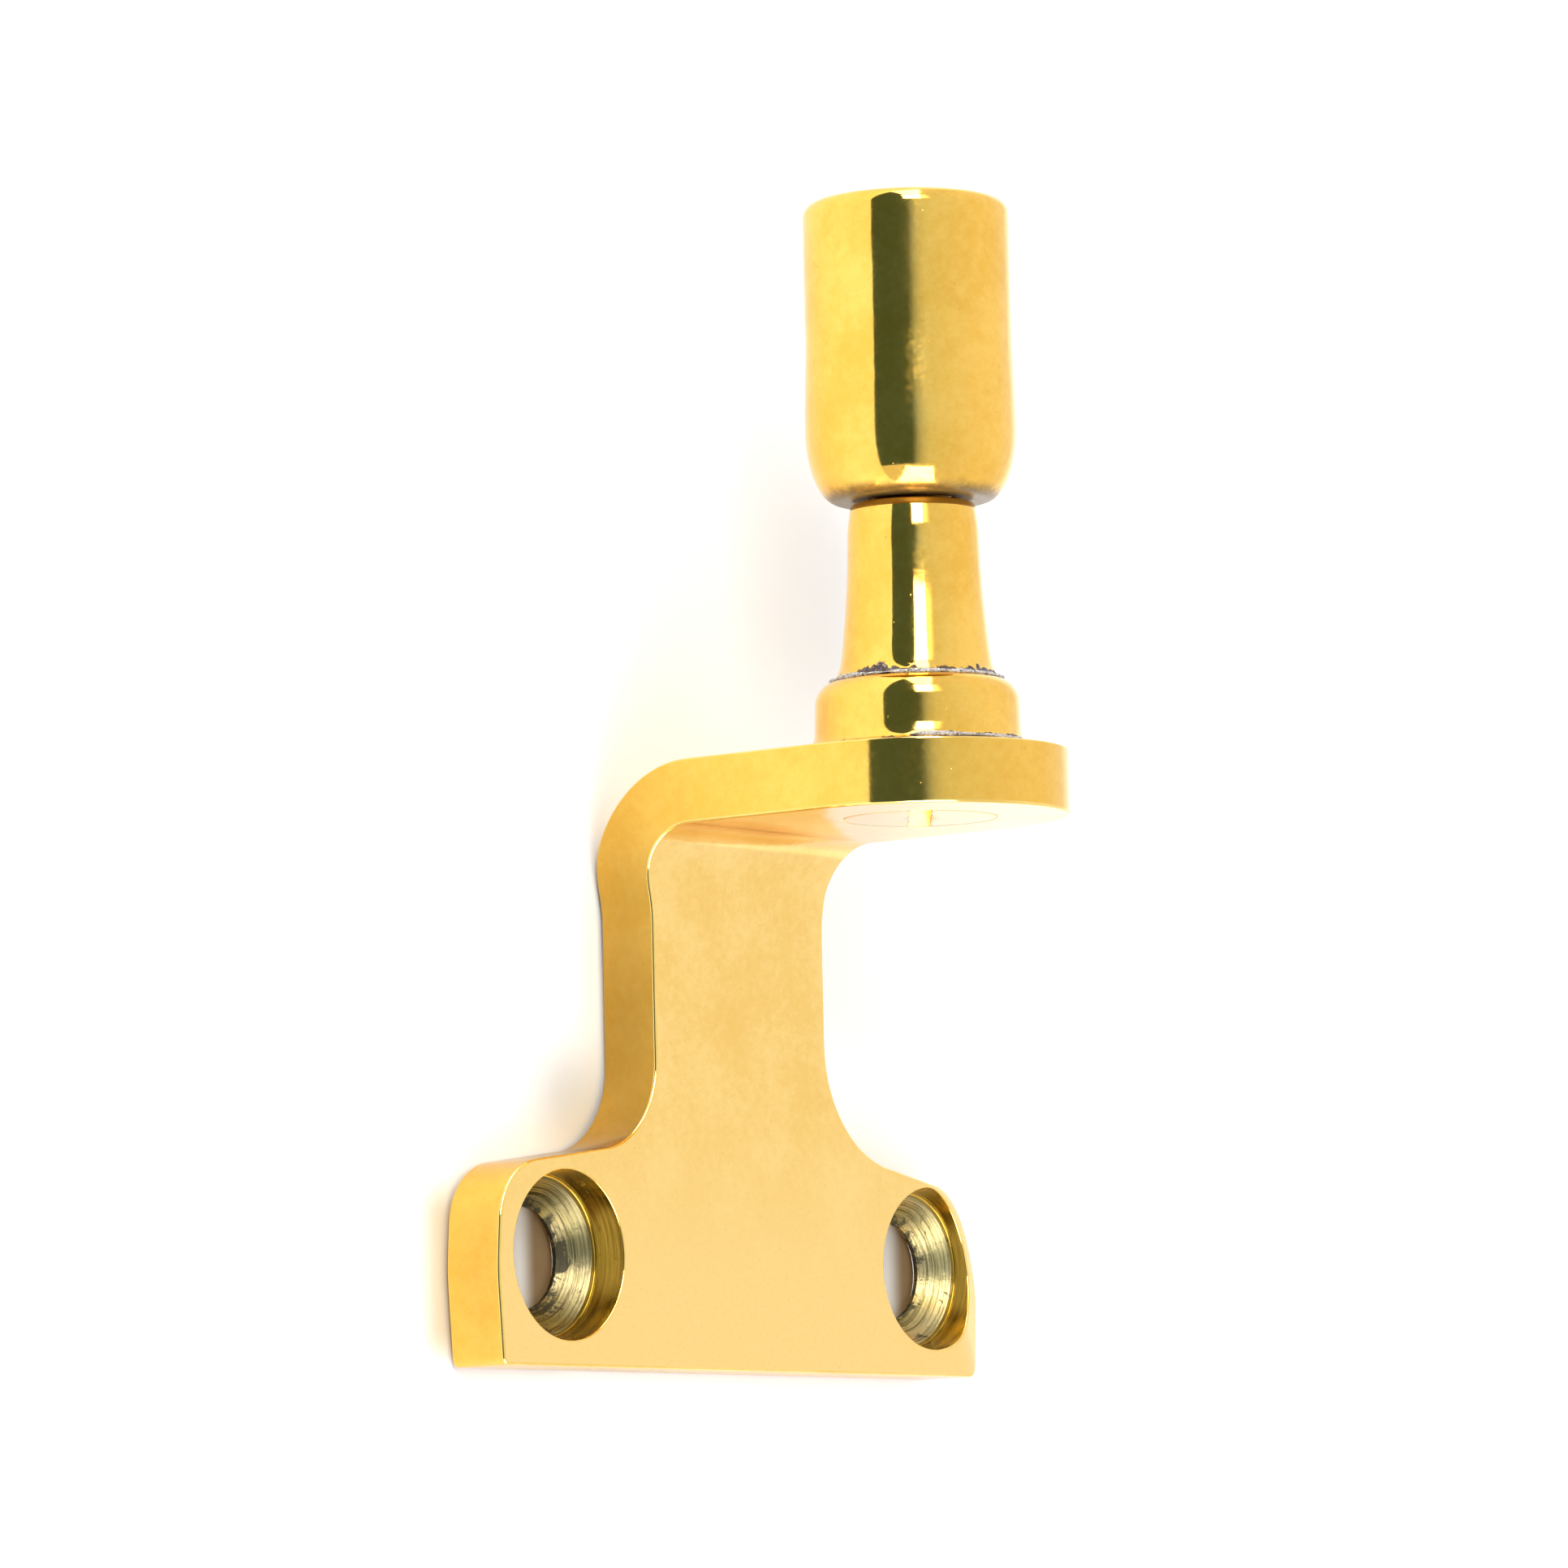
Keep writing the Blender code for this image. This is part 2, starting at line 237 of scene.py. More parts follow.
# ---- node helpers --------------------------------------------------------------------------
class Nodes:
    def __init__(self, material):
        material.use_nodes = True
        self.tree = material.node_tree
        self.shader = self.tree.nodes["Principled BSDF"]

    def add(self, kind, **settings):
        node = self.tree.nodes.new(kind)
        for key, value in settings.items():
            setattr(node, key, value)
        return node

    def link(self, a, b):
        self.tree.links.new(a, b)

    def put(self, socket, value):
        if isinstance(value, bpy.types.NodeSocket):
            self.link(value, socket)
        else:
            socket.default_value = value

    def math(self, operation, a, b=0.0, c=None, clamp=False):
        n = self.add("ShaderNodeMath", operation=operation, use_clamp=clamp)
        self.put(n.inputs[0], a)
        self.put(n.inputs[1], b)
        if c is not None:
            self.put(n.inputs[2], c)
        return n.outputs[0]

    def noise(self, vector, scale, detail=3.0, roughness=0.5, distortion=0.0):
        n = self.add("ShaderNodeTexNoise")
        self.link(vector, n.inputs["Vector"])
        n.inputs["Scale"].default_value = scale
        n.inputs["Detail"].default_value = detail
        n.inputs["Roughness"].default_value = roughness
        n.inputs["Distortion"].default_value = distortion
        return n.outputs["Fac"]

    def step(self, value, low, high, to_low=0.0, to_high=1.0):
        n = self.add("ShaderNodeMapRange", interpolation_type="SMOOTHSTEP")
        self.put(n.inputs["Value"], value)
        n.inputs["From Min"].default_value = low
        n.inputs["From Max"].default_value = high
        n.inputs["To Min"].default_value = to_low
        n.inputs["To Max"].default_value = to_high
        return n.outputs["Result"]

    def mix(self, factor, a, b):
        n = self.add("ShaderNodeMix", data_type="RGBA")
        self.put(n.inputs["Factor"], factor)
        for socket, value in ((n.inputs[6], a), (n.inputs[7], b)):
            if isinstance(value, bpy.types.NodeSocket):
                self.link(value, socket)
            else:
                socket.default_value = (*value, 1.0)
        return n.outputs[2]

    def millimetres(self, offset=(0, 0, 0), scale=(1, 1, 1), turn=(0, 0, 0)):
        coord = self.add("ShaderNodeTexCoord")
        m = self.add("ShaderNodeMapping")
        m.inputs["Location"].default_value = offset
        m.inputs["Rotation"].default_value = turn
        m.inputs["Scale"].default_value = tuple(1000 * s for s in scale)
        self.link(coord.outputs["Object"], m.inputs["Vector"])
        return m.outputs["Vector"]

    def bump(self, height, distance_mm, strength=1.0, normal=None):
        n = self.add("ShaderNodeBump")
        n.inputs["Strength"].default_value = strength
        n.inputs["Distance"].default_value = distance_mm * MM
        self.link(height, n.inputs["Height"])
        if normal is not None:
            self.link(normal, n.inputs["Normal"])
        return n.outputs["Normal"]


def polished_brass(name, colour, rough=0.07, seed=0.0, wave=0.010, scratch=0.0012, pits=0.35, grain=(1, 1, 1), stain=0.25, turn=(0, 0, 0), grime=None, painted_lower_reflection=None, contrast=1.0, gap_shade=None):
    """Hand-polished brass: cloudy tone, fine polishing lines, a few casting pits, slight waviness."""
    mat = bpy.data.materials.new(name)
    n = Nodes(mat)
    p = n.millimetres(offset=(seed, seed * 1.7, -seed))
    lines = n.millimetres(offset=(seed, -seed, seed), scale=grain, turn=turn)

    cloud = n.noise(p, 0.22, 4, 0.55)
    mottle = n.noise(p, 1.6, 5, 0.65)
    fine = n.noise(p, 9.0, 3, 0.6)
    tone = n.math("ADD", n.math("MULTIPLY", cloud, 0.6), n.math("MULTIPLY", mottle, 0.4))
    deep = tuple(c * (1 - k * contrast) for c, k in zip(colour, (0.06, 0.11, 0.24)))
    pale = tuple(min(1.0, c * (1 + k * contrast)) for c, k in zip(colour, (0.03, 0.05, 0.16)))
    colour_out = n.mix(n.step(tone, 0.34, 0.66), deep, pale)
    if painted_lower_reflection:
        # painted reflection: the face turns paler towards the bottom, with a cloudy edge
        top, bottom, tint = painted_lower_reflection
        split = n.add("ShaderNodeSeparateXYZ")
        n.link(n.millimetres(), split.inputs[0])
        low = n.step(n.math("ADD", split.outputs["Z"], n.math("MULTIPLY", cloud, 6.0)), top + 3.0, bottom + 3.0)
        colour_out = n.mix(low, colour_out, tint)
    speck = n.noise(p, 5.0, 4, 0.75)
    colour_out = n.mix(n.math("MULTIPLY", n.step(speck, 0.50, 0.72), 0.22 * contrast), colour_out, tuple(c * k for c, k in zip(colour, (0.84, 0.76, 0.62))))
    colour_out = n.mix(n.math("MULTIPLY", n.step(speck, 0.46, 0.30), 0.25 * contrast), colour_out, tuple(min(1.0, c * k) for c, k in zip(colour, (1.03, 1.08, 1.35))))
    spots = n.noise(p, 0.9, 4, 0.7, 0.6)
    stain_mask = n.math("MULTIPLY", n.step(spots, 0.60, 0.78), stain)
    colour_out = n.mix(stain_mask, colour_out, tuple(c * k for c, k in zip(colour, (0.74, 0.60, 0.42))))

    cells = n.add("ShaderNodeTexVoronoi", feature="F1")
    n.link(p, cells.inputs["Vector"])
    cells.inputs["Scale"].default_value = 1.35
    cells.inputs["Randomness"].default_value = 1.0
    where = n.step(n.noise(p, 0.45, 2, 0.5), 0.52, 0.60)
    pit = n.math("MULTIPLY", n.step(cells.outputs["Distance"], 0.030, 0.075, 1.0, 0.0), where)
    pit = n.math("MULTIPLY", pit, pits)
    colour_out = n.mix(pit, colour_out, (0.10, 0.06, 0.02))

    hair = n.noise(lines, 1.0, 4, 0.7)
    rub = n.noise(p, 3.5, 4, 0.6)
    roughness = n.math("ADD", n.math("MULTIPLY", n.step(rub, 0.35, 0.7), 0.045), rough)
    roughness = n.math("ADD", roughness, n.math("MULTIPLY", n.step(hair, 0.55, 0.75), 0.03))
    roughness = n.math("ADD", roughness, n.math("MULTIPLY", pit, 0.3))

    normal = n.bump(n.noise(p, 0.16, 2, 0.5), wave * 6)
    normal = n.bump(mottle, wave * 0.22, normal=normal)
    normal = n.bump(hair, scratch, normal=normal)
    normal = n.bump(fine, scratch * 0.25, normal=normal)
    normal = n.bump(n.math("SUBTRACT", 1.0, pit), 0.02, normal=normal)

    s = n.shader
    if gap_shade:
        # painted shade on the cap's underside over the gap above the spindle: darker colour, rougher and less metallic
        low_z, high_z, cover, tint = gap_shade
        split = n.add("ShaderNodeSeparateXYZ")
        n.link(n.millimetres(), split.inputs[0])
        edge = n.math("ADD", split.outputs["Z"], n.math("MULTIPLY", mottle, 0.5))
        darkening = n.math("MULTIPLY", n.step(edge, high_z + 0.25, low_z + 0.25), cover)
        colour_out = n.mix(darkening, colour_out, tint)
        roughness = n.math("ADD", roughness, n.math("MULTIPLY", darkening, 0.25))
    if grime:
        # dried polish caught in the joint: crumbly, grey with silvery flecks, thinning out upwards
        base_z, reach, cover, side = grime
        q = n.millimetres()
        split = n.add("ShaderNodeSeparateXYZ")
        n.link(q, split.inputs[0])
        rise = n.math("DIVIDE", n.math("SUBTRACT", split.outputs["Z"], base_z), reach)
        across = n.math("SUBTRACT", n.math("MULTIPLY", split.outputs["X"], 0.104), n.math("MULTIPLY", n.math("SUBTRACT", split.outputs["Y"], PIN_Y), 0.130))
        patch = n.math("ADD", n.math("MULTIPLY", n.noise(q, 0.55, 3, 0.5), 0.68), n.math("MULTIPLY", n.noise(q, 2.2, 3, 0.6), 0.32))
        level = n.math("ADD", n.math("SUBTRACT", patch, n.math("MULTIPLY", rise, 0.34)), n.math("MULTIPLY", across, side))
        mask = n.step(level, cover, cover + 0.045)
        flecks = n.noise(q, 5.5, 4, 0.7)
        dirt = n.mix(n.step(flecks, 0.52, 0.66), (0.060, 0.040, 0.036), (0.34, 0.31, 0.33))
        colour_out = n.mix(mask, colour_out, dirt)
        roughness = n.math("ADD", roughness, n.math("MULTIPLY", mask, 0.38))
        normal = n.bump(n.math("MULTIPLY", mask, flecks), 0.05, normal=normal)
        n.link(n.math("SUBTRACT", 1.0, n.math("MULTIPLY", mask, 0.55)), s.inputs["Metallic"])
    elif gap_shade:
        n.link(n.math("SUBTRACT", 1.0, n.math("MULTIPLY", darkening, 0.6)), s.inputs["Metallic"])
    else:
        s.inputs["Metallic"].default_value = 1.0
    n.link(colour_out, s.inputs["Base Color"])
    n.link(roughness, s.inputs["Roughness"])
    n.link(normal, s.inputs["Normal"])
    return mat


def hole_wall_brass(name, colour, axis_xz, rough, darkening, ring):
    """Machined brass inside a countersink: turning rings about the hole's axis, chatter, dirt."""
    mat = bpy.data.materials.new(name)
    n = Nodes(mat)
    p = n.millimetres()
    split = n.add("ShaderNodeSeparateXYZ")
    n.link(p, split.inputs[0])
    dx = n.math("SUBTRACT", split.outputs["X"], axis_xz[0])
    dz = n.math("SUBTRACT", split.outputs["Z"], axis_xz[1])
    radius = n.math("SQRT", n.math("ADD", n.math("MULTIPLY", dx, dx), n.math("MULTIPLY", dz, dz)))
    angle = n.math("ARCTAN2", dz, dx)
    polar = n.add("ShaderNodeCombineXYZ")
    n.link(n.math("MULTIPLY", radius, 1.0), polar.inputs["X"])
    n.link(n.math("MULTIPLY", angle, 0.55), polar.inputs["Y"])
    n.link(split.outputs["Y"], polar.inputs["Z"])
    stretch = n.add("ShaderNodeMapping")
    stretch.inputs["Scale"].default_value = (7.0, 0.9, 5.0)
    n.link(polar.outputs[0], stretch.inputs["Vector"])
    rings = n.noise(stretch.outputs[0], 1.0, 4, 0.72)
    chatter_map = n.add("ShaderNodeMapping")
    chatter_map.inputs["Scale"].default_value = (1.4, 11.0, 1.4)
    n.link(polar.outputs[0], chatter_map.inputs["Vector"])
    chatter = n.noise(chatter_map.outputs[0], 1.0, 3, 0.6)
    dirt = n.step(n.math("ADD", n.noise(p, 0.9, 5, 0.75, 0.8), n.math("MULTIPLY", n.step(radius, 3.75, 2.95), 0.16)), 0.58, 0.68)
    blotch = n.noise(p, 0.5, 4, 0.6)

    dark = tuple(c * k for c, k in zip(colour, (0.42, 0.40, 0.34)))
    light = tuple(min(1.0, c * k) for c, k in zip(colour, (1.25, 1.27, 1.32)))
    out = n.mix(n.step(rings, 0.34, 0.62), dark, light)
    streak_map = n.add("ShaderNodeMapping")
    streak_map.inputs["Scale"].default_value = (16.0, 1.1, 11.0)
    n.link(polar.outputs[0], streak_map.inputs["Vector"])
    streak = n.step(n.noise(streak_map.outputs[0], 1.0, 3, 0.6), 0.55, 0.68)
    out = n.mix(n.math("MULTIPLY", streak, darkening), out, tuple(c * 0.30 for c in colour))
    out = n.mix(n.math("MULTIPLY", n.step(blotch, 0.35, 0.65), 0.5), out, tuple(c * k for c, k in zip(colour, (0.72, 0.78, 0.62))))
    out = n.mix(n.math("MULTIPLY", dirt, darkening), out, (0.045, 0.042, 0.030))
    s = n.shader
    n.link(out, s.inputs["Base Color"])
    r = n.math("ADD", n.math("MULTIPLY", n.step(rings, 0.3, 0.7), 0.16), rough)
    r = n.math("ADD", r, n.math("MULTIPLY", dirt, 0.25))
    n.link(r, s.inputs["Roughness"])
    normal = n.bump(rings, ring)
    normal = n.bump(chatter, ring * 0.7, normal=normal)
    normal = n.bump(n.noise(p, 6.0, 3, 0.6), ring * 0.2, normal=normal)
    n.link(normal, s.inputs["Normal"])
    s.inputs["Metallic"].default_value = 1.0
    return mat


def residue_material(name):
    """Dried polishing compound caught in a joint: grey, black and silvery flecks."""
    mat = bpy.data.materials.new(name)
    n = Nodes(mat)
    p = n.millimetres()
    grain = n.noise(p, 3.0, 5, 0.75)
    fleck = n.noise(p, 7.5, 4, 0.7)
    out = n.mix(n.step(grain, 0.34, 0.58), (0.075, 0.065, 0.060), (0.50, 0.48, 0.49))
    out = n.mix(n.step(fleck, 0.50, 0.64), out, (0.80, 0.79, 0.80))
    s = n.shader
    n.link(out, s.inputs["Base Color"])
    n.link(n.step(grain, 0.3, 0.7, 0.35, 0.75), s.inputs["Roughness"])
    n.link(n.bump(grain, 0.08), s.inputs["Normal"])
    s.inputs["Metallic"].default_value = 0.35
    return mat


# ---- materials -----------------------------------------------------------------------------
GOLD = (0.93, 0.565, 0.105)
bracket_mat = polished_brass("bracket_polished_brass", (0.90, 0.545, 0.10), rough=0.085, seed=3.0, wave=0.012, grain=(1, 1, 1), scratch=0.0006, stain=0.22)
# front face: the sides' brass painted paler and less saturated for the light the face reflects, a little rougher, and
# with a painted paler lower part
front_mat = polished_brass("bracket_front_brass_painted_pale", (0.95, 0.645, 0.205), rough=0.13, seed=7.0, wave=0.012, grain=(1, 1, 1), scratch=0.0006, stain=0.06, contrast=1.05, painted_lower_reflection=(12.0, -4.0, (0.965, 0.668, 0.240)))
edge_mat = polished_brass("bracket_worn_edge", (0.96, 0.66, 0.19), rough=0.06, seed=5.0, wave=0.004, scratch=0.0004, pits=0.6, stain=0.3)
back_mat = polished_brass("bracket_filed_back", (0.80, 0.54, 0.17), rough=0.26, seed=13.0, wave=0.01, grain=(0.35, 1, 9.0), scratch=0.004, stain=0.5)
collar_mat = polished_brass("collar_polished_brass", GOLD, rough=0.06, seed=11.0, wave=0.006, grain=(1, 1, 9.0), scratch=0.0005, pits=0.35, stain=0.4, contrast=1.25, grime=(28.92, 0.50, 0.45, 0.18))
spindle_mat = polished_brass("spindle_polished_brass", GOLD, rough=0.055, seed=17.0, wave=0.007, grain=(1, 1, 9.0), scratch=0.0005, pits=0.35, stain=0.35, contrast=1.25, grime=(32.80, 1.15, 0.415, 0.05))
# the cap's underside gets painted shade for the gap above the spindle
cap_mat = polished_brass("cap_polished_brass", GOLD, rough=0.055, seed=23.0, wave=0.008, grain=(1, 1, 8.0), scratch=0.0005, pits=0.3, stain=0.35, contrast=1.25, gap_shade=(43.22, 43.95, 0.92, (0.13, 0.085, 0.035)))
screw_mat = polished_brass("screw_filed_brass", (0.92, 0.60, 0.17), rough=0.12, seed=29.0, wave=0.01, grain=(8.0, 1.0, 1.0), scratch=0.002)
stud_mat = polished_brass("stud_thread_brass", (0.50, 0.33, 0.12), rough=0.30, seed=31.0, wave=0.01, grain=(1, 1, 9), scratch=0.004, stain=0.6)
wall_mats = [hole_wall_brass(f"hole_wall_{i}", (0.70, 0.455, 0.074), h, 0.10, 0.15, 0.004) for i, h in enumerate(HOLES)]
# painted shade and painted light: both cones are the same machined brass, but the left one is given a much darker
# colour than the right one
cone_mats = [hole_wall_brass(f"hole_cone_{i}", c, h, 0.24, 0.85, 0.03) for i, (h, c) in enumerate(zip(HOLES, ((0.275, 0.222, 0.108), (0.47, 0.38, 0.188))))]
residue_mat = residue_material("polish_residue")


# ---- bracket: a flat pattern with rolled edges, folded through the bend ------------------------
def front_outline(step):
    return fillet_outline([
        (-21.83, FOOT_BOTTOM, 0.5),
        (22.15, FOOT_BOTTOM, 1.0),
        (24.05, -0.9, 5.0),
        (22.95, 4.6, 5.0),
        (NECK_HALF, 6.8, 7.2),
        (NECK_HALF, 20.3, 8.0),
        (LEG_HALF, 23.6, 8.0),
        (LEG_HALF, LEG_TOP + 2.0, 0.0),
        (-LEG_HALF, LEG_TOP + 2.0, 0.0),
        (-LEG_HALF, 23.6, 8.0),
        (-NECK_HALF, 20.3, 8.0),
        (-NECK_HALF, 6.8, 5.3),
        (-21.75, 4.95, 3.9),
        (-22.2, -1.0, 14.0),
    ], step)


FOLD_Z = LEG_TOP - BEND_OUTER_R            # height where the bend starts
FOLD_S = 8.0                               # length the bend takes in the flat pattern
LEG_S = FOLD_Z + FOLD_S
INNER_DY = PLATE_T + BEND_INNER_R - BEND_OUTER_R
INNER_DZ = (LEG_UNDER - BEND_INNER_R) - FOLD_Z
side_run = sorted({(round(p.y, 5), round(p.x, 5)) for p in front_outline(math.radians(1.5)) if p.x > 7 and p.y > 14.0})
run_z = np.array([q[0] for q in side_run])
run_w = np.array([q[1] for q in side_run])


def dressing(u):
    past = u - (DRESS_U - DRESS_BLEND)
    if past <= 0:
        return 0.0, 0.0
    if past < 2 * DRESS_BLEND:
        return DRESS_SLOPE * past * past / (4 * DRESS_BLEND), DRESS_SLOPE * past / (2 * DRESS_BLEND)
    return DRESS_SLOPE * (past - DRESS_BLEND), DRESS_SLOPE


def fold(x, s, t):
    """A point of the flat pattern in space; t is 0 on the back and top, 1 on the front and underside."""
    if s <= FOLD_Z:
        near = min(1.0, max(0.0, (s - FOLD_Z + 4.0) / 4.0))
        outer = (0.0, s)
        u = x * math.cos(DRESS_ANGLE) + s * math.sin(DRESS_ANGLE)
        inner = (-PLATE_T + dressing(u)[0], s + INNER_DZ * near)
    elif s < LEG_S:
        a = math.pi / 2 * (s - FOLD_Z) / FOLD_S
        outer = (-BEND_OUTER_R + BEND_OUTER_R * math.cos(a), FOLD_Z + BEND_OUTER_R * math.sin(a))
        inner = (-BEND_OUTER_R - INNER_DY + BEND_INNER_R * math.cos(a), FOLD_Z + INNER_DZ + BEND_INNER_R * math.sin(a))
    else:
        d = s - LEG_S
        outer = (-BEND_OUTER_R - d, LEG_TOP)
        inner = (-BEND_OUTER_R - d - INNER_DY * max(0.0, 1 - d / 3.0), LEG_UNDER)
    y = outer[0] + (inner[0] - outer[0]) * t
    z = outer[1] + (inner[1] - outer[1]) * t
    width = float(np.interp(z, run_z, run_w)) / NECK_HALF if z > 16.0 else 1.0
    return np.array([x * width, y, z])


def face_normal(x, s, t):
    a = math.pi / 2 * min(1.0, max(0.0, (s - FOLD_Z) / FOLD_S))
    n = np.array([0.0, math.cos(a), math.sin(a)])
    if t < 0.5:
        return n
    if s < FOLD_Z:
        rise = dressing(x * math.cos(DRESS_ANGLE) + s * math.sin(DRESS_ANGLE))[1]
        n = np.array([rise * math.cos(DRESS_ANGLE), -1.0, rise * math.sin(DRESS_ANGLE)])
        return n / np.linalg.norm(n)
    return -n


flat_outline = [(p.x, p.y) for p in front_outline(math.radians(2.0)) if p.y < 14.0]
first_up = max(range(len(flat_outline)), key=lambda i: (flat_outline[i][1] if flat_outline[i][0] > 0 else -99))
right_side = flat_outline[:first_up + 1]
left_side = flat_outline[first_up + 1:]
levels = list(np.arange(15.0, FOLD_Z, 0.5)) + [FOLD_Z + FOLD_S * k / 40 for k in range(41)]
pin_s = LEG_S + (-BEND_OUTER_R - PIN_Y)
levels += list(np.arange(LEG_S + 0.8, pin_s - 0.2, 0.8))
outline = list(right_side)
outline += [(NECK_HALF, s) for s in levels]
first_row = len(right_side)
for k in range(97):
    a = math.pi / 2 - math.pi * k / 96
    outline.append((NECK_HALF * math.sin(a), pin_s + LEG_HALF * math.cos(a)))
outline += [(-NECK_HALF, s) for s in reversed(levels)]
last_row = len(outline) - 1
outline += left_side
outline = np.array(outline)
N = len(outline)

tangent = np.roll(outline, -1, axis=0) - np.roll(outline, 1, axis=0)
normal_2d = np.stack([tangent[:, 1], -tangent[:, 0]], axis=1)
normal_2d /= np.linalg.norm(normal_2d, axis=1)[:, None]


def side_normals(t):
    points = np.array([fold(x, s, t) for x, s in outline])
    along = np.roll(points, -1, axis=0) - np.roll(points, 1, axis=0)
    through = np.array([fold(x, s, 0.0) - fold(x, s, 1.0) for x, s in outline])
    n = np.cross(along, through)
    n /= np.linalg.norm(n, axis=1)[:, None]
    if np.mean(n[:, 0] * outline[:, 0]) < 0:
        n = -n
    return n


class Patchwork:
    """Faces with a normal and a material of their own for every corner, in millimetres."""
    def __init__(self):
        self.verts, self.faces, self.normals, self.slots = [], [], [], []

    def ring(self, points):
        start = len(self.verts)
        self.verts += [np.array(p, dtype=float) for p in points]
        return list(range(start, start + len(points)))

    def face(self, corners, normals, slot):
        p = [self.verts[i] for i in corners]
        flat = np.zeros(3)
        for i in range(1, len(p) - 1):
            flat += np.cross(p[i] - p[0], p[i + 1] - p[0])
        if np.dot(flat, sum(normals)) < 0:
            corners, normals = corners[::-1], normals[::-1]
        self.faces.append(list(corners))
        self.normals.append(list(normals))
        self.slots.append(slot)

    def strip(self, a, normals_a, b, normals_b, slot):
        n = len(a)
        for k in range(n):
            m = (k + 1) % n
            self.face([a[k], a[m], b[m], b[k]], [normals_a[k], normals_a[m], normals_b[m], normals_b[k]], slot)

    def build(self, name, materials):
        mesh = bpy.data.meshes.new(name)
        mesh.from_pydata([tuple(v * MM) for v in self.verts], [], self.faces)
        for m in materials:
            mesh.materials.append(m)
        mesh.polygons.foreach_set("material_index", self.slots)
        mesh.shade_smooth()
        mesh.normals_split_custom_set([tuple(n) for corner in self.normals for n in corner])
        return new_object(name, mesh)


FRONT, SIDE, ROLL, BACK, WALL, CONE = 0, 1, 2, 3, 4, 6
work = Patchwork()
roll_front, roll_back = EDGE, 0.10


def roll_edge(edge, side, face, radius, steps):
    """Rings from a face round onto a side; the first ring lies in the face."""
    rings = []
    for k in range(steps + 1):
        f = math.pi / 2 * (1 - k / steps)
        points = edge - side * radius * (1 - math.cos(f)) - face * radius * (1 - math.sin(f))
        normals = side * math.cos(f) + face * math.sin(f)
        rings.append((points, normals))
    return rings


def lay(rings, slots, closed_on=None):
    """Joins rings of (points, normals) with strips; returns the first and the last ring's corners."""
    ids = [work.ring(p) for p, _ in rings]
    for j in range(len(rings) - 1):
        work.strip(ids[j], rings[j][1], ids[j + 1], rings[j + 1][1], slots[j])
    return ids[0], ids[-1]


def rim_radius(y):
    return HOLE_WALL_R + (-y - (PLATE_T - HOLE_WALL_DEPTH)) / HOLE_WALL_DEPTH * (HOLE_RIM_R - HOLE_WALL_R)


# the outside edge, from the front and underside round to the back and top
edge_in = np.array([fold(x, s, 1.0) for x, s in outline])
edge_out = np.array([fold(x, s, 0.0) for x, s in outline])
n_in = np.array([face_normal(x, s, 1.0) for x, s in outline])
n_out = np.array([face_normal(x, s, 0.0) for x, s in outline])
side_in, side_out = side_normals(1.0), side_normals(0.0)
rings = roll_edge(edge_in, side_in, n_in, roll_front, 6)
slots = [ROLL] * 6
low = edge_in - n_in * roll_front
high = edge_out - n_out * roll_back
for k in range(1, 9):
    t = k / 9
    mixed = side_in + (side_out - side_in) * t
    rings.append((low + (high - low) * t, mixed / np.linalg.norm(mixed, axis=1)[:, None]))
    slots.append(SIDE)
back_rings = roll_edge(edge_out, side_out, n_out, roll_back, 4)[::-1]
rings += back_rings
slots += [SIDE] + [ROLL] * 4
front_loop, back_loop = lay(rings, slots)

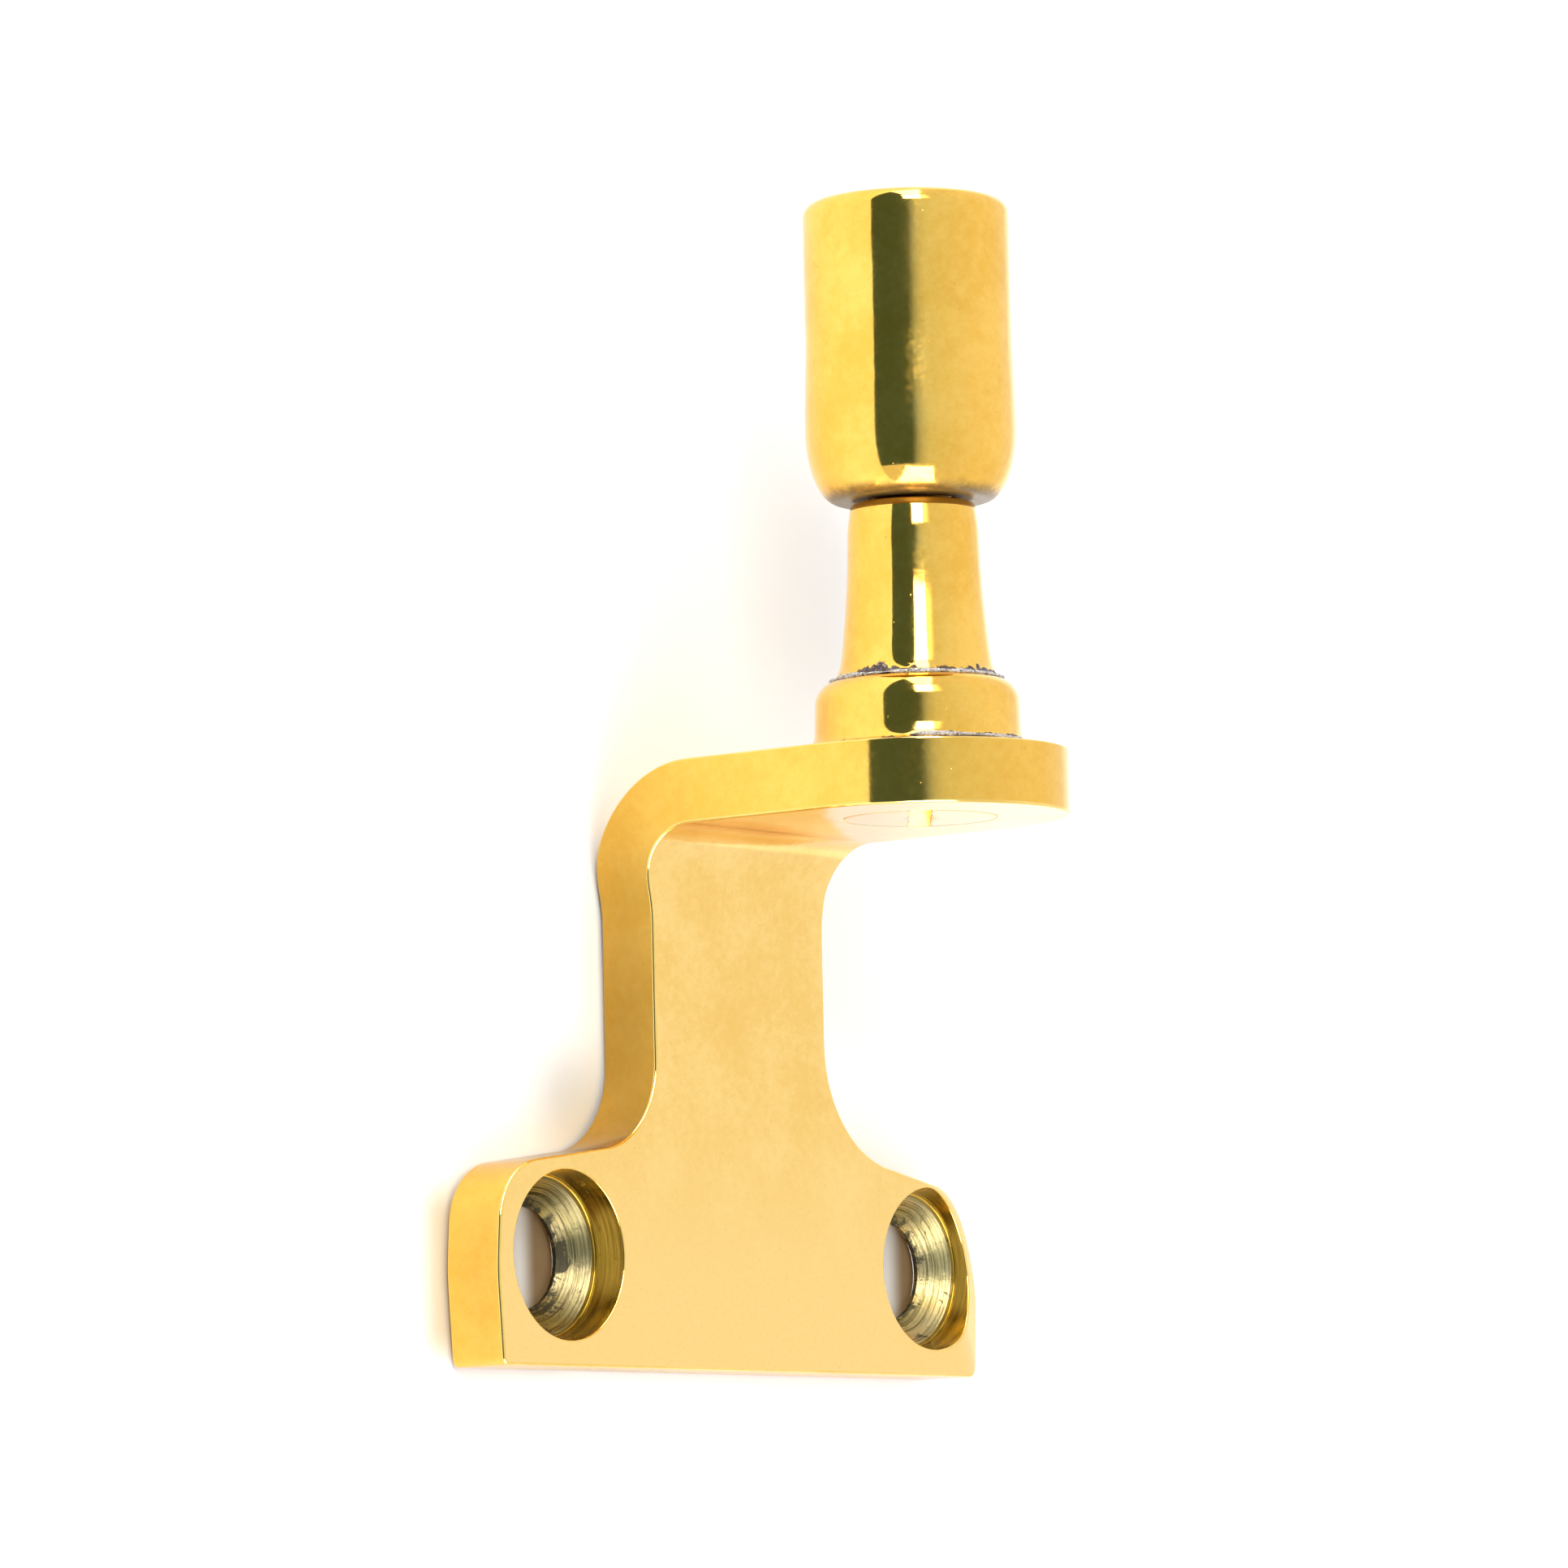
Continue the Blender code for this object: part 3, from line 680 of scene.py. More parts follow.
# fixing holes
STEPS = 120
front_holes, back_holes = [], []
for i, (hx, hz) in enumerate(HOLES):
    angles = [2 * math.pi * k / STEPS for k in range(STEPS)]
    out = np.array([[math.cos(a), 0.0, math.sin(a)] for a in angles])
    inward = -out
    edge, face = [], []
    for a in angles:
        y = -PLATE_T
        for _ in range(4):
            r = rim_radius(y)
            x, z = hx + r * math.cos(a), hz + r * math.sin(a)
            y = -PLATE_T + dressing(x * math.cos(DRESS_ANGLE) + z * math.sin(DRESS_ANGLE))[0]
        edge.append((x, y, z))
        face.append(face_normal(x, z, 1.0))
    edge, face = np.array(edge), np.array(face)
    lean = math.atan2(HOLE_RIM_R - HOLE_WALL_R, HOLE_WALL_DEPTH)
    wall_n = inward * math.cos(lean) + np.array([0, -1.0, 0]) * math.sin(lean)
    rings = roll_edge(edge, wall_n, face, 0.11, 4)
    slots = [ROLL] * 4
    wall_y = -(PLATE_T - HOLE_WALL_DEPTH)
    top = rings[-1][0]
    foot_ring = np.array([hx, wall_y, hz]) + out * (HOLE_WALL_R + 0.0)
    for k in range(1, 7):
        t = k / 6
        rings.append((top + (foot_ring - np.array([0, 0.08, 0]) - top) * t, wall_n))
        slots.append(WALL + i)
    forward = np.tile(np.array([0, -1.0, 0]), (STEPS, 1))
    rings.append((np.array([hx, wall_y - 0.02, hz]) + out * (HOLE_WALL_R - 0.03), (inward + forward) / math.sqrt(2)))
    slots.append(WALL + i)
    rings.append((np.array([hx, wall_y, hz]) + out * (HOLE_WALL_R - 0.09), forward))
    slots.append(WALL + i)
    rings.append((np.array([hx, wall_y, hz]) + out * HOLE_STEP_R, forward))
    slots.append(CONE + i)
    # the cone, cut by a blunt drill: uneven shallow rings that come and go round the hole
    cone = []
    ROWS = 34
    for k in range(ROWS + 1):
        q = k / ROWS
        r = HOLE_STEP_R + (HOLE_THROUGH_R - HOLE_STEP_R) * q
        d = wall_y + (HOLE_STEP_R - HOLE_THROUGH_R) * q
        ripple = []
        for a in angles:
            w = math.sin(k * 2.1 + 1.3 * math.sin(2 * a + i)) + 0.6 * math.sin(k * 0.83 + 2 * i + 1.7 * math.sin(a + 1.2)) + 0.35 * math.sin(k * 5.3 + 7 * a)
            fade = math.sin(math.pi * q) ** 0.5
            ripple.append(0.0065 * w * fade)
        ripple = np.array(ripple)[:, None]
        slope_n = (inward + forward) / math.sqrt(2)
        cone.append(np.array([hx, d, hz]) + out * r + slope_n * ripple)
    cone = np.array(cone)
    du = np.gradient(cone, axis=0)
    dv = np.roll(cone, -1, axis=1) - np.roll(cone, 1, axis=1)
    cn = np.cross(du, dv)
    cn /= np.linalg.norm(cn, axis=2)[:, :, None]
    if np.mean(cn[:, :, 1]) > 0:
        cn = -cn
    slots.append(CONE + i)
    for k in range(ROWS + 1):
        if k == 0:
            continue
        rings.append((cone[k], cn[k]))
        if k > 1:
            slots.append(CONE + i)
    end = cone[-1]
    rings.append((end + np.array([0, 0.05, 0]) - out * 0.0, inward))
    slots.append(CONE + i)
    rings.append((np.array([hx, -0.06, hz]) + out * HOLE_THROUGH_R, inward))
    slots.append(CONE + i)
    rings.append((np.array([hx, 0.0, hz]) + out * (HOLE_THROUGH_R + 0.06), np.tile(np.array([0, 1.0, 0]), (STEPS, 1))))
    slots.append(CONE + i)
    first, last = lay(rings, slots)
    front_holes.append(first)
    back_holes.append(last)

# the hole for the post screw, countersunk from the underside
angles = [2 * math.pi * k / 96 for k in range(96)]
out = np.array([[math.cos(a), math.sin(a), 0.0] for a in angles])
axis = np.array([0.0, PIN_Y, 0.0])
down = np.tile(np.array([0, 0, -1.0]), (96, 1))
slant = (-out + down) / math.sqrt(2)
seat = SCREW_HEAD_R + 0.01
bore = BORE_R + 0.05
rings = [
    (axis + [0, 0, LEG_UNDER] + out * (seat + 0.02), down),
    (axis + [0, 0, LEG_UNDER + 0.02] + out * seat, slant),
    (axis + [0, 0, LEG_UNDER + seat - bore] + out * bore, slant),
    (axis + [0, 0, LEG_UNDER + seat - bore + 0.05] + out * bore, -out),
    (axis + [0, 0, LEG_TOP] + out * bore, -out)]
under_hole, top_hole = lay(rings, [ROLL, SIDE, SIDE, SIDE])


def flat_of(point):
    """Flat-pattern place of a point on the foot or on the leg."""
    x, y, z = point
    if z > FOLD_Z:
        return x * NECK_HALF / LEG_HALF, LEG_S + (-BEND_OUTER_R - y)
    return x, z


def skin(t, outer_ids, hole_ids, slot, inset):
    """Fills a face of the sheet between the outline and its holes."""
    coords = [Vector((float(x - n[0] * inset), float(s - n[1] * inset))) for (x, s), n in zip(outline, normal_2d)]
    ids = list(outer_ids)
    edges = [(k, (k + 1) % N) for k in range(N)]
    rows = len(levels)
    for k in range(rows):
        edges.append((first_row + k, last_row - k))
    for loop in hole_ids:
        base = len(coords)
        for v in loop:
            coords.append(Vector(flat_of(work.verts[v])))
            ids.append(v)
        edges += [(base + k, base + (k + 1) % len(loop)) for k in range(len(loop))]
    if t == 1.0:
        boundary = np.array([tuple(c) for c in coords])
        for gx in np.arange(12.0, 23.8, 0.42):
            for gz in np.arange(-6.0, 6.2, 0.42):
                u = gx * math.cos(DRESS_ANGLE) + gz * math.sin(DRESS_ANGLE)
                if u < 16.9 or math.hypot(gx - HOLES[1][0], gz - HOLES[1][1]) < HOLE_RIM_R + 0.3:
                    continue
                if np.min(np.hypot(boundary[:, 0] - gx, boundary[:, 1] - gz)) < 0.25:
                    continue
                coords.append(Vector((float(gx), float(gz))))
                ids.append(None)
    result = delaunay_2d_cdt(coords, edges, [], 1, 1e-5)
    out_co, out_faces, origin = result[0], result[2], result[3]
    if len(out_co) > len(coords):
        print("extra corners", len(out_co) - len(coords))
    index = []
    for k, co in enumerate(out_co):
        source = [o for o in origin[k]]
        known = ids[source[0]] if source and source[0] < len(ids) else None
        if known is None:
            known = len(work.verts)
            work.verts.append(fold(co.x, co.y, t))
        index.append(known)
    polygon = [(c.x, c.y) for c in coords[:N]]
    holes_2d = []
    for loop in hole_ids:
        pts = np.array([flat_of(work.verts[v]) for v in loop])
        holes_2d.append((pts.mean(axis=0), pts))
    for f in out_faces:
        mid = sum((out_co[i] for i in f), Vector((0, 0))) / len(f)
        if any(inside(mid, pts) for _, pts in holes_2d) or not inside(mid, polygon):
            continue
        work.face([index[i] for i in f], [face_normal(out_co[i].x, out_co[i].y, t) for i in f], slot)


def inside(point, polygon):
    hit = False
    px, py = point[0], point[1]
    n = len(polygon)
    for i in range(n):
        x0, y0 = polygon[i][0], polygon[i][1]
        x1, y1 = polygon[(i + 1) % n][0], polygon[(i + 1) % n][1]
        if (y0 > py) != (y1 > py) and px < x0 + (py - y0) * (x1 - x0) / (y1 - y0):
            hit = not hit
    return hit


skin(1.0, front_loop, [*front_holes, under_hole], FRONT, roll_front)
skin(0.0, back_loop, [*back_holes, top_hole], BACK, roll_back)
bracket = work.build("bracket_body", [front_mat, bracket_mat, edge_mat, back_mat, *wall_mats, *cone_mats])
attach(bracket, "base"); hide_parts("bracket")


# ---- collar, spindle, screw ------------------------------------------------------------------
def finish_piece(obj, body, node, material, location):
    obj.data.transform(Matrix.Translation([v * MM for v in location]))
    obj.data.materials.append(material)
    obj.data.shade_smooth()
    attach(obj, body)
    if node:
        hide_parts(node)
    return obj


PIN = (0.0, PIN_Y, LEG_TOP)
collar_outer = [(BORE_R + 0.05, COLLAR_H), (4.72, COLLAR_H)]
collar_outer += arc(4.72, 2.75, 1.20, COLLAR_H - 2.75, 90, 0, 30)[1:]
collar_outer += [(5.935, 2.1), (5.95, 1.5)]
collar_outer += arc(6.46, 1.32, 0.50, 1.04, 180, 262, 20)
collar_outer += [(6.42, 0.20), (6.42, JOINT_GAP), (BORE_R + 0.05, JOINT_GAP)]
collar = new_object("collar_ring", turned_mesh("collar_ring", refine(soften(collar_outer, 0.08), 0.5), TURN_STEPS))
finish_piece(collar, "base", "collar", collar_mat, PIN)


def spindle_radius(h):
    base = COLLAR_H + JOINT_GAP
    skirt = 0.52 * math.exp(-(h - base) / 0.42)
    taper = 4.38 - 0.62 * (1 - math.exp(-((h - base) / 4.6) ** 1.6))
    tip = 0.17 * max(0.0, (h - 12.8) / (SPINDLE_TOP - 12.8)) ** 1.3
    return taper + skirt - tip


spindle_base = COLLAR_H + JOINT_GAP
screw_top = LEG_UNDER + SCREW_LENGTH - LEG_TOP
profile = [(0.0, SPINDLE_TOP - STUD_SUNK - 0.25), (BORE_R, SPINDLE_TOP - STUD_SUNK - 0.25), (BORE_R, SPINDLE_TOP)]
profile += [(spindle_radius(SPINDLE_TOP) - 0.10, SPINDLE_TOP), (spindle_radius(SPINDLE_TOP), SPINDLE_TOP - 0.10)]
for k in range(1, 61):
    h = (SPINDLE_TOP - 0.10) + (spindle_base - SPINDLE_TOP + 0.10) * (k / 60) ** 0.8
    profile.append((spindle_radius(h), h))
profile += [(BORE_R, spindle_base), (BORE_R, screw_top + 0.35), (0.0, screw_top + 0.35)]
spindle = new_object("spindle_post", turned_mesh("spindle_post", profile, TURN_STEPS))
finish_piece(spindle, "base", "spindle", spindle_mat, PIN)

screw = new_object("post_screw_body", turned_mesh("post_screw_body", refine(soften([
    (0.0, LEG_UNDER + SCREW_LENGTH), (SCREW_R - 0.4, LEG_UNDER + SCREW_LENGTH),
    (SCREW_R, LEG_UNDER + SCREW_LENGTH - 0.4), (SCREW_R, LEG_UNDER + SCREW_HEAD_R - 0.04 - SCREW_R),
    (SCREW_HEAD_R - 0.04, LEG_UNDER), (0.0, LEG_UNDER)], 0.035, 10), 0.6), 96))
bpy.ops.mesh.primitive_cube_add(size=1.0, location=(0, 0, (LEG_UNDER + SCREW_SLOT_DEPTH / 2 - 0.5) * MM))
slot = bpy.context.object
slot.scale = (12 * MM, SCREW_SLOT * MM, (SCREW_SLOT_DEPTH + 1) * MM)
slot.rotation_euler = (0, 0, SCREW_SLOT_ANGLE)
boolean(screw, slot, "DIFFERENCE")
apply_modifiers(screw)
bpy.data.objects.remove(slot)
bevel_weld(screw, 0.05, 2)
apply_modifiers(screw)
finish_piece(screw, "base", "post_screw", screw_mat, (0, PIN_Y, 0))


# ---- stud with its thread ---------------------------------------------------------------------
def threaded_rod(name, z0, z1, radius, pitch, depth, steps):
    """A rod whose outside is a real helix of triangular thread, run out at both ends."""
    rows = math.ceil((z1 - z0) / (pitch / 10))
    verts, faces = [], []
    for j in range(rows + 1):
        z = z0 + (z1 - z0) * j / rows
        for k in range(steps):
            a = 2 * math.pi * k / steps
            phase = (z / pitch - a / (2 * math.pi)) % 1.0
            tooth = abs(2 * phase - 1)
            tooth = min(1.0, max(0.0, (tooth - 0.12) / 0.76))
            run = min(1.0, (z - z0) / 0.5, (z1 - z) / 0.5)
            r = radius - depth * (1 - tooth) - (1 - run) * 0.45
            verts.append((r * math.cos(a) * MM, r * math.sin(a) * MM, z * MM))
    low = len(verts); verts.append((0, 0, z0 * MM))
    high = len(verts); verts.append((0, 0, z1 * MM))
    for j in range(rows):
        for k in range(steps):
            n = (k + 1) % steps
            faces.append((j * steps + k, j * steps + n, (j + 1) * steps + n, (j + 1) * steps + k))
    for k in range(steps):
        n = (k + 1) % steps
        faces.append((low, n, k))
        faces.append((high, rows * steps + k, rows * steps + n))
    mesh = bpy.data.meshes.new(name)
    mesh.from_pydata(verts, [], faces)
    return mesh


stud = new_object("cap_stud_thread", threaded_rod("cap_stud_thread", SPINDLE_TOP - STUD_SUNK, SPINDLE_TOP + STUD_PROUD, STUD_R, THREAD_PITCH, 0.42, 72))
finish_piece(stud, "turning_stud", "cap_stud", stud_mat, PIN)
stud.data.set_sharp_from_angle(angle=math.radians(35))

# ---- cap ---------------------------------------------------------------------------------------
profile = [(0.0, CAP_TOP)]
profile += arc(CAP_R - CAP_EDGE_R, CAP_TOP - CAP_EDGE_R, CAP_EDGE_R, CAP_EDGE_R, 90, 0, 18)
for k in range(1, 19):
    s = k / 18
    profile.append((CAP_R + (CAP_SWELL_R - CAP_R) * s * s * (3 - 2 * s), 24.6 - 5.7 * s))
profile += arc(4.30, 18.9, CAP_SWELL_R - 4.30, 18.9 - CAP_BOTTOM, 0, -85.0, 40)[1:]
profile += [
    (CAP_FLAT_R - 0.1, CAP_BOTTOM), (BORE_R + 0.35, CAP_BOTTOM), (BORE_R, CAP_BOTTOM + 0.35),
    (BORE_R, CAP_BOTTOM + CAP_BORE_DEPTH), (0.0, CAP_BOTTOM + CAP_BORE_DEPTH + 1.4)]
cap = new_object("cap_body", turned_mesh("cap_body", refine(profile, 0.6), TURN_STEPS))
finish_piece(cap, "cap", "cap", cap_mat, PIN)
for piece in (collar, spindle, screw, cap):
    piece.data.set_sharp_from_angle(angle=math.radians(42))


# ---- dried polish in the joints -----------------------------------------------------------------
def residue_bead(name, radius, z, thick, start, sweep, seed):
    """A crumbly bead along part of a joint, its thickness wandering and closing at both ends."""
    steps, around = 420, 10
    verts, faces = [], []
    for k in range(steps + 1):
        q = k / steps
        a = start + sweep * q
        spot = Vector((math.cos(a) * 2.2, math.sin(a) * 2.2, seed))
        swell = 0.72 + 0.7 * noise.noise(spot) + 0.35 * noise.noise(spot * 4.0) + 0.16 * noise.noise(spot * 11.0)
        fade = min(1.0, q * 14, (1 - q) * 14)
        t = thick * max(0.10, swell) * max(0.02, fade)
        for j in range(around):
            b = 2 * math.pi * j / around
            crumb = 1 + 0.3 * noise.noise(Vector((a * 18.0, 2.0 * math.sin(b), seed)))
            r = radius + t * crumb * math.cos(b)
            verts.append((r * math.cos(a) * MM, r * math.sin(a) * MM, (z + t * 0.9 * crumb * math.sin(b)) * MM))
    for k in range(steps):
        for j in range(around):
            m = (j + 1) % around
            faces.append((k * around + j, (k + 1) * around + j, (k + 1) * around + m, k * around + m))
    faces.append(tuple(range(around)))
    faces.append(tuple(steps * around + j for j in reversed(range(around))))
    mesh = bpy.data.meshes.new(name)
    mesh.from_pydata(verts, [], faces)
    bm = bmesh.new()
    bm.from_mesh(mesh)
    bmesh.ops.recalc_face_normals(bm, faces=bm.faces)
    bm.to_mesh(mesh)
    bm.free()
    obj = new_object(name, mesh)
    obj.data.transform(Matrix.Translation([v * MM for v in PIN]))
    obj.data.materials.append(residue_mat)
    obj.data.shade_smooth()
    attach(obj, "base")
    return obj


view_a = math.radians(-90 - 51.57)         # direction from the pin towards the front left
residue_bead("polish_residue_spindle", spindle_radius(spindle_base) - 0.02, COLLAR_H + 0.07, 0.17, view_a - 1.75, 3.7, 1.0)
residue_bead("polish_residue_spindle_rear", spindle_radius(spindle_base) - 0.01, COLLAR_H + 0.05, 0.08, view_a + 2.2, 1.9, 5.0)
residue_bead("polish_residue_collar", 6.30, 0.42, 0.16, view_a - 0.12, 1.9, 9.0)

# ---- camera --------------------------------------------------------------------------------------
AZ, EL, ROLL = math.radians(-51.5685), math.radians(-6.3218), math.radians(-1.315)
right = np.array([math.cos(AZ), math.sin(AZ), 0.0])
up = np.array([-math.sin(AZ) * math.sin(EL), math.cos(AZ) * math.sin(EL), math.cos(EL)])
back = np.array([math.sin(AZ) * math.cos(EL), -math.cos(AZ) * math.cos(EL), math.sin(EL)])
c, s = math.cos(ROLL), math.sin(ROLL)
axes = np.array([c * right + s * up, -s * right + c * up, back])
camera_data = bpy.data.cameras.new("camera")
camera = new_object("camera", camera_data)
camera_data.lens = 189.31
camera_data.sensor_width = 36.0
camera_data.clip_start, camera_data.clip_end = 0.01, 20.0
world = np.eye(4)
world[:3, :3] = axes.T
world[:3, 3] = np.array([-365.064, -296.944, -24.620]) * 1.025 * MM
camera.matrix_world = Matrix(world.tolist())
bpy.context.scene.camera = camera

# ---- studio: a white table behind the back face, soft walls of light, a dark gap round the lens ---
scene = bpy.context.scene
scene.view_settings.view_transform = "Standard"
scene.view_settings.look = "None"
world_shader = bpy.data.worlds.new("studio")
scene.world = world_shader
world_shader.use_nodes = True
world_shader.node_tree.nodes["Background"].inputs["Color"].default_value = (1, 1, 1, 1)
world_shader.node_tree.nodes["Background"].inputs["Strength"].default_value = 0.95

centre = np.array([0.0, -0.010, 0.020])
flat_back = np.array([math.sin(AZ), -math.cos(AZ), 0.0])


def direction(azimuth, elevation):
    """A direction from the object; azimuth from the camera's, positive to the right of the picture."""
    a, e = math.radians(azimuth), math.radians(elevation)
    return math.cos(e) * (math.cos(a) * flat_back + math.sin(a) * right) + math.sin(e) * np.array([0, 0, 1.0])


def area_light(name, azimuth, elevation, distance, width, height, radiance, colour=(1, 1, 1)):
    data = bpy.data.lights.new(name, "AREA")
    data.shape, data.size, data.size_y = "RECTANGLE", width, height
    data.energy = radiance * math.pi * width * height
    data.color = colour
    light = new_object(name, data)
    d = Vector(direction(azimuth, elevation))
    light.location = Vector(centre) + d * distance
    light.rotation_mode = "QUATERNION"
    light.rotation_quaternion = d.to_track_quat("Z", "Y")
    light.visible_camera = False
    return light


def wall(name, azimuths, elevations, distance, stops):
    """A curved card seen only in reflections; its radiance runs through stops (azimuth, r, g, b)."""
    cols, rows = 48, 12
    verts, faces, shades = [], [], []
    for j in range(rows + 1):
        e = elevations[0] + (elevations[1] - elevations[0]) * j / rows
        for i in range(cols + 1):
            a = azimuths[0] + (azimuths[1] - azimuths[0]) * i / cols
            verts.append(tuple(centre + direction(a, e) * distance))
            shades.append([np.interp(a, [x[0] for x in stops], [x[k] for x in stops]) for k in (1, 2, 3)])
    for j in range(rows):
        for i in range(cols):
            q = j * (cols + 1) + i
            faces.append((q, q + 1, q + cols + 2, q + cols + 1))
    mesh = bpy.data.meshes.new(name)
    mesh.from_pydata(verts, [], faces)
    attribute = mesh.color_attributes.new("shade", "FLOAT_COLOR", "POINT")
    for k, v in enumerate(shades):
        attribute.data[k].color = (*v, 1.0)
    obj = new_object(name, mesh)
    mat = bpy.data.materials.new(name)
    mat.use_nodes = True
    tree = mat.node_tree
    tree.nodes.clear()
    out = tree.nodes.new("ShaderNodeOutputMaterial")
    emit = tree.nodes.new("ShaderNodeEmission")
    read = tree.nodes.new("ShaderNodeVertexColor")
    read.layer_name = "shade"
    tree.links.new(read.outputs["Color"], emit.inputs["Color"])
    tree.links.new(emit.outputs[0], out.inputs["Surface"])
    mesh.materials.append(mat)
    obj.visible_camera = False
    obj.visible_shadow = False
    return obj


# the gap round the lens: dark, with the lights above and below it and a soft right-hand edge
DARK = (0.085, 0.140, 0.150)
wall("lens_gap", (-42, 30), (-33, 15.5), 1.6, [(-42, *DARK), (0, *DARK), (3, 0.17, 0.24, 0.32), (7, 0.40, 0.52, 0.66), (12, 0.62, 0.72, 0.88), (20, 0.80, 0.90, 0.96), (30, 0.86, 0.92, 0.95)])
wall("lens_gap_upper", (-42, -3), (15.5, 75), 1.6, [(-42, *DARK), (-3, *DARK)])
wall("softbox_glow", (17, 28), (16.5, 44), 1.55, [(17, 3.2, 3.1, 2.8), (22, 2.3, 2.2, 2.0), (28, 1.1, 1.1, 1.1)])
wall("right_wall", (30.2, 175), (-40, 60), 1.6, [(30, 0.86, 0.92, 0.95), (60, 0.96, 0.98, 1.0), (90, 1.04, 1.04, 1.04), (120, 1.06, 1.06, 1.08), (175, 1.1, 1.14, 1.2)])
area_light("softbox_high", 7.5, 30.8, 1.5, 0.47, 0.78, 14.0)
top = area_light("softbox_top", 7.5, 73, 1.5, 0.47, 1.45, 6.0)
top.visible_diffuse = False
low = area_light("softbox_low", 10, -62, 0.80, 0.46, 0.78, 7.0)
low.visible_diffuse = False
fill = area_light("fill_low", 35, -38, 1.0, 0.7, 0.7, 2.1)
fill.visible_glossy = False

# the table, with an opening behind the back face so that the object can be seen from behind; painted shadows beside the
# neck and foot, and a painted glow under the foot
table_y = 0.3
table_mesh = bpy.data.meshes.new("table")
bm = bmesh.new()
inner = []
for x, z in fillet_outline([
        (-21.2, FOOT_BOTTOM + 0.6, 0.5), (21.4, FOOT_BOTTOM + 0.6, 0.7), (23.0, -0.9, 4.0), (22.0, 4.0, 4.0),
        (NECK_HALF - 0.6, 6.2, 7.2), (NECK_HALF - 0.6, 20.5, 5.0), (-NECK_HALF + 0.6, 20.5, 5.0), (-NECK_HALF + 0.6, 6.2, 5.3),
        (-21.1, 4.3, 3.4)], math.radians(10)):
    inner.append((x, z))
size = 900.0
outer_loop = [bm.verts.new((x * MM, table_y * MM, z * MM)) for x, z in ((-size, -size), (size, -size), (size, size), (-size, size))]
inner_loop = [bm.verts.new((x * MM, table_y * MM, z * MM)) for x, z in inner]
edges = [bm.edges.new((loop[i], loop[(i + 1) % len(loop)])) for loop in (outer_loop, inner_loop) for i in range(len(loop))]
for x, z in HOLES:
    ring = [bm.verts.new(((x + 3.35 * math.cos(2 * math.pi * k / 40)) * MM, table_y * MM, (z + 3.35 * math.sin(2 * math.pi * k / 40)) * MM)) for k in range(40)]
    face = bm.faces.new(ring)
    face.material_index = 1
bmesh.ops.triangle_fill(bm, use_beauty=True, use_dissolve=False, edges=edges)
for face in bm.faces:
    face.normal_update()
    if face.normal.y > 0:
        face.normal_flip()
bm.to_mesh(table_mesh)
bm.free()
table = new_object("table", table_mesh)
mat = bpy.data.materials.new("white_table")
mat.use_nodes = True
tree = mat.node_tree
shader = tree.nodes["Principled BSDF"]
shader.inputs["Roughness"].default_value = 0.6
shader.inputs["Specular IOR Level"].default_value = 0.2


def see_through(tree, shader):
    """The table is clear from its far side, so the back face can be looked at."""
    clear = tree.nodes.new("ShaderNodeBsdfTransparent")
    mixer = tree.nodes.new("ShaderNodeMixShader")
    geometry = tree.nodes.new("ShaderNodeNewGeometry")
    tree.links.new(geometry.outputs["Backfacing"], mixer.inputs[0])
    tree.links.new(shader.outputs[0], mixer.inputs[1])
    tree.links.new(clear.outputs[0], mixer.inputs[2])
    tree.links.new(mixer.outputs[0], tree.nodes["Material Output"].inputs["Surface"])


see_through(tree, shader)
t = Nodes(mat)
place = t.add("ShaderNodeSeparateXYZ")
t.link(t.millimetres(), place.inputs[0])


def blob(cx, wx, cz, wz):
    """A soft round patch on the table, for painted shadows."""
    ax = t.math("DIVIDE", t.math("SUBTRACT", place.outputs["X"], cx), wx)
    az = t.math("DIVIDE", t.math("SUBTRACT", place.outputs["Z"], cz), wz)
    return t.math("EXPONENT", t.math("MULTIPLY", t.math("ADD", t.math("MULTIPLY", ax, ax), t.math("MULTIPLY", az, az)), -1.0))


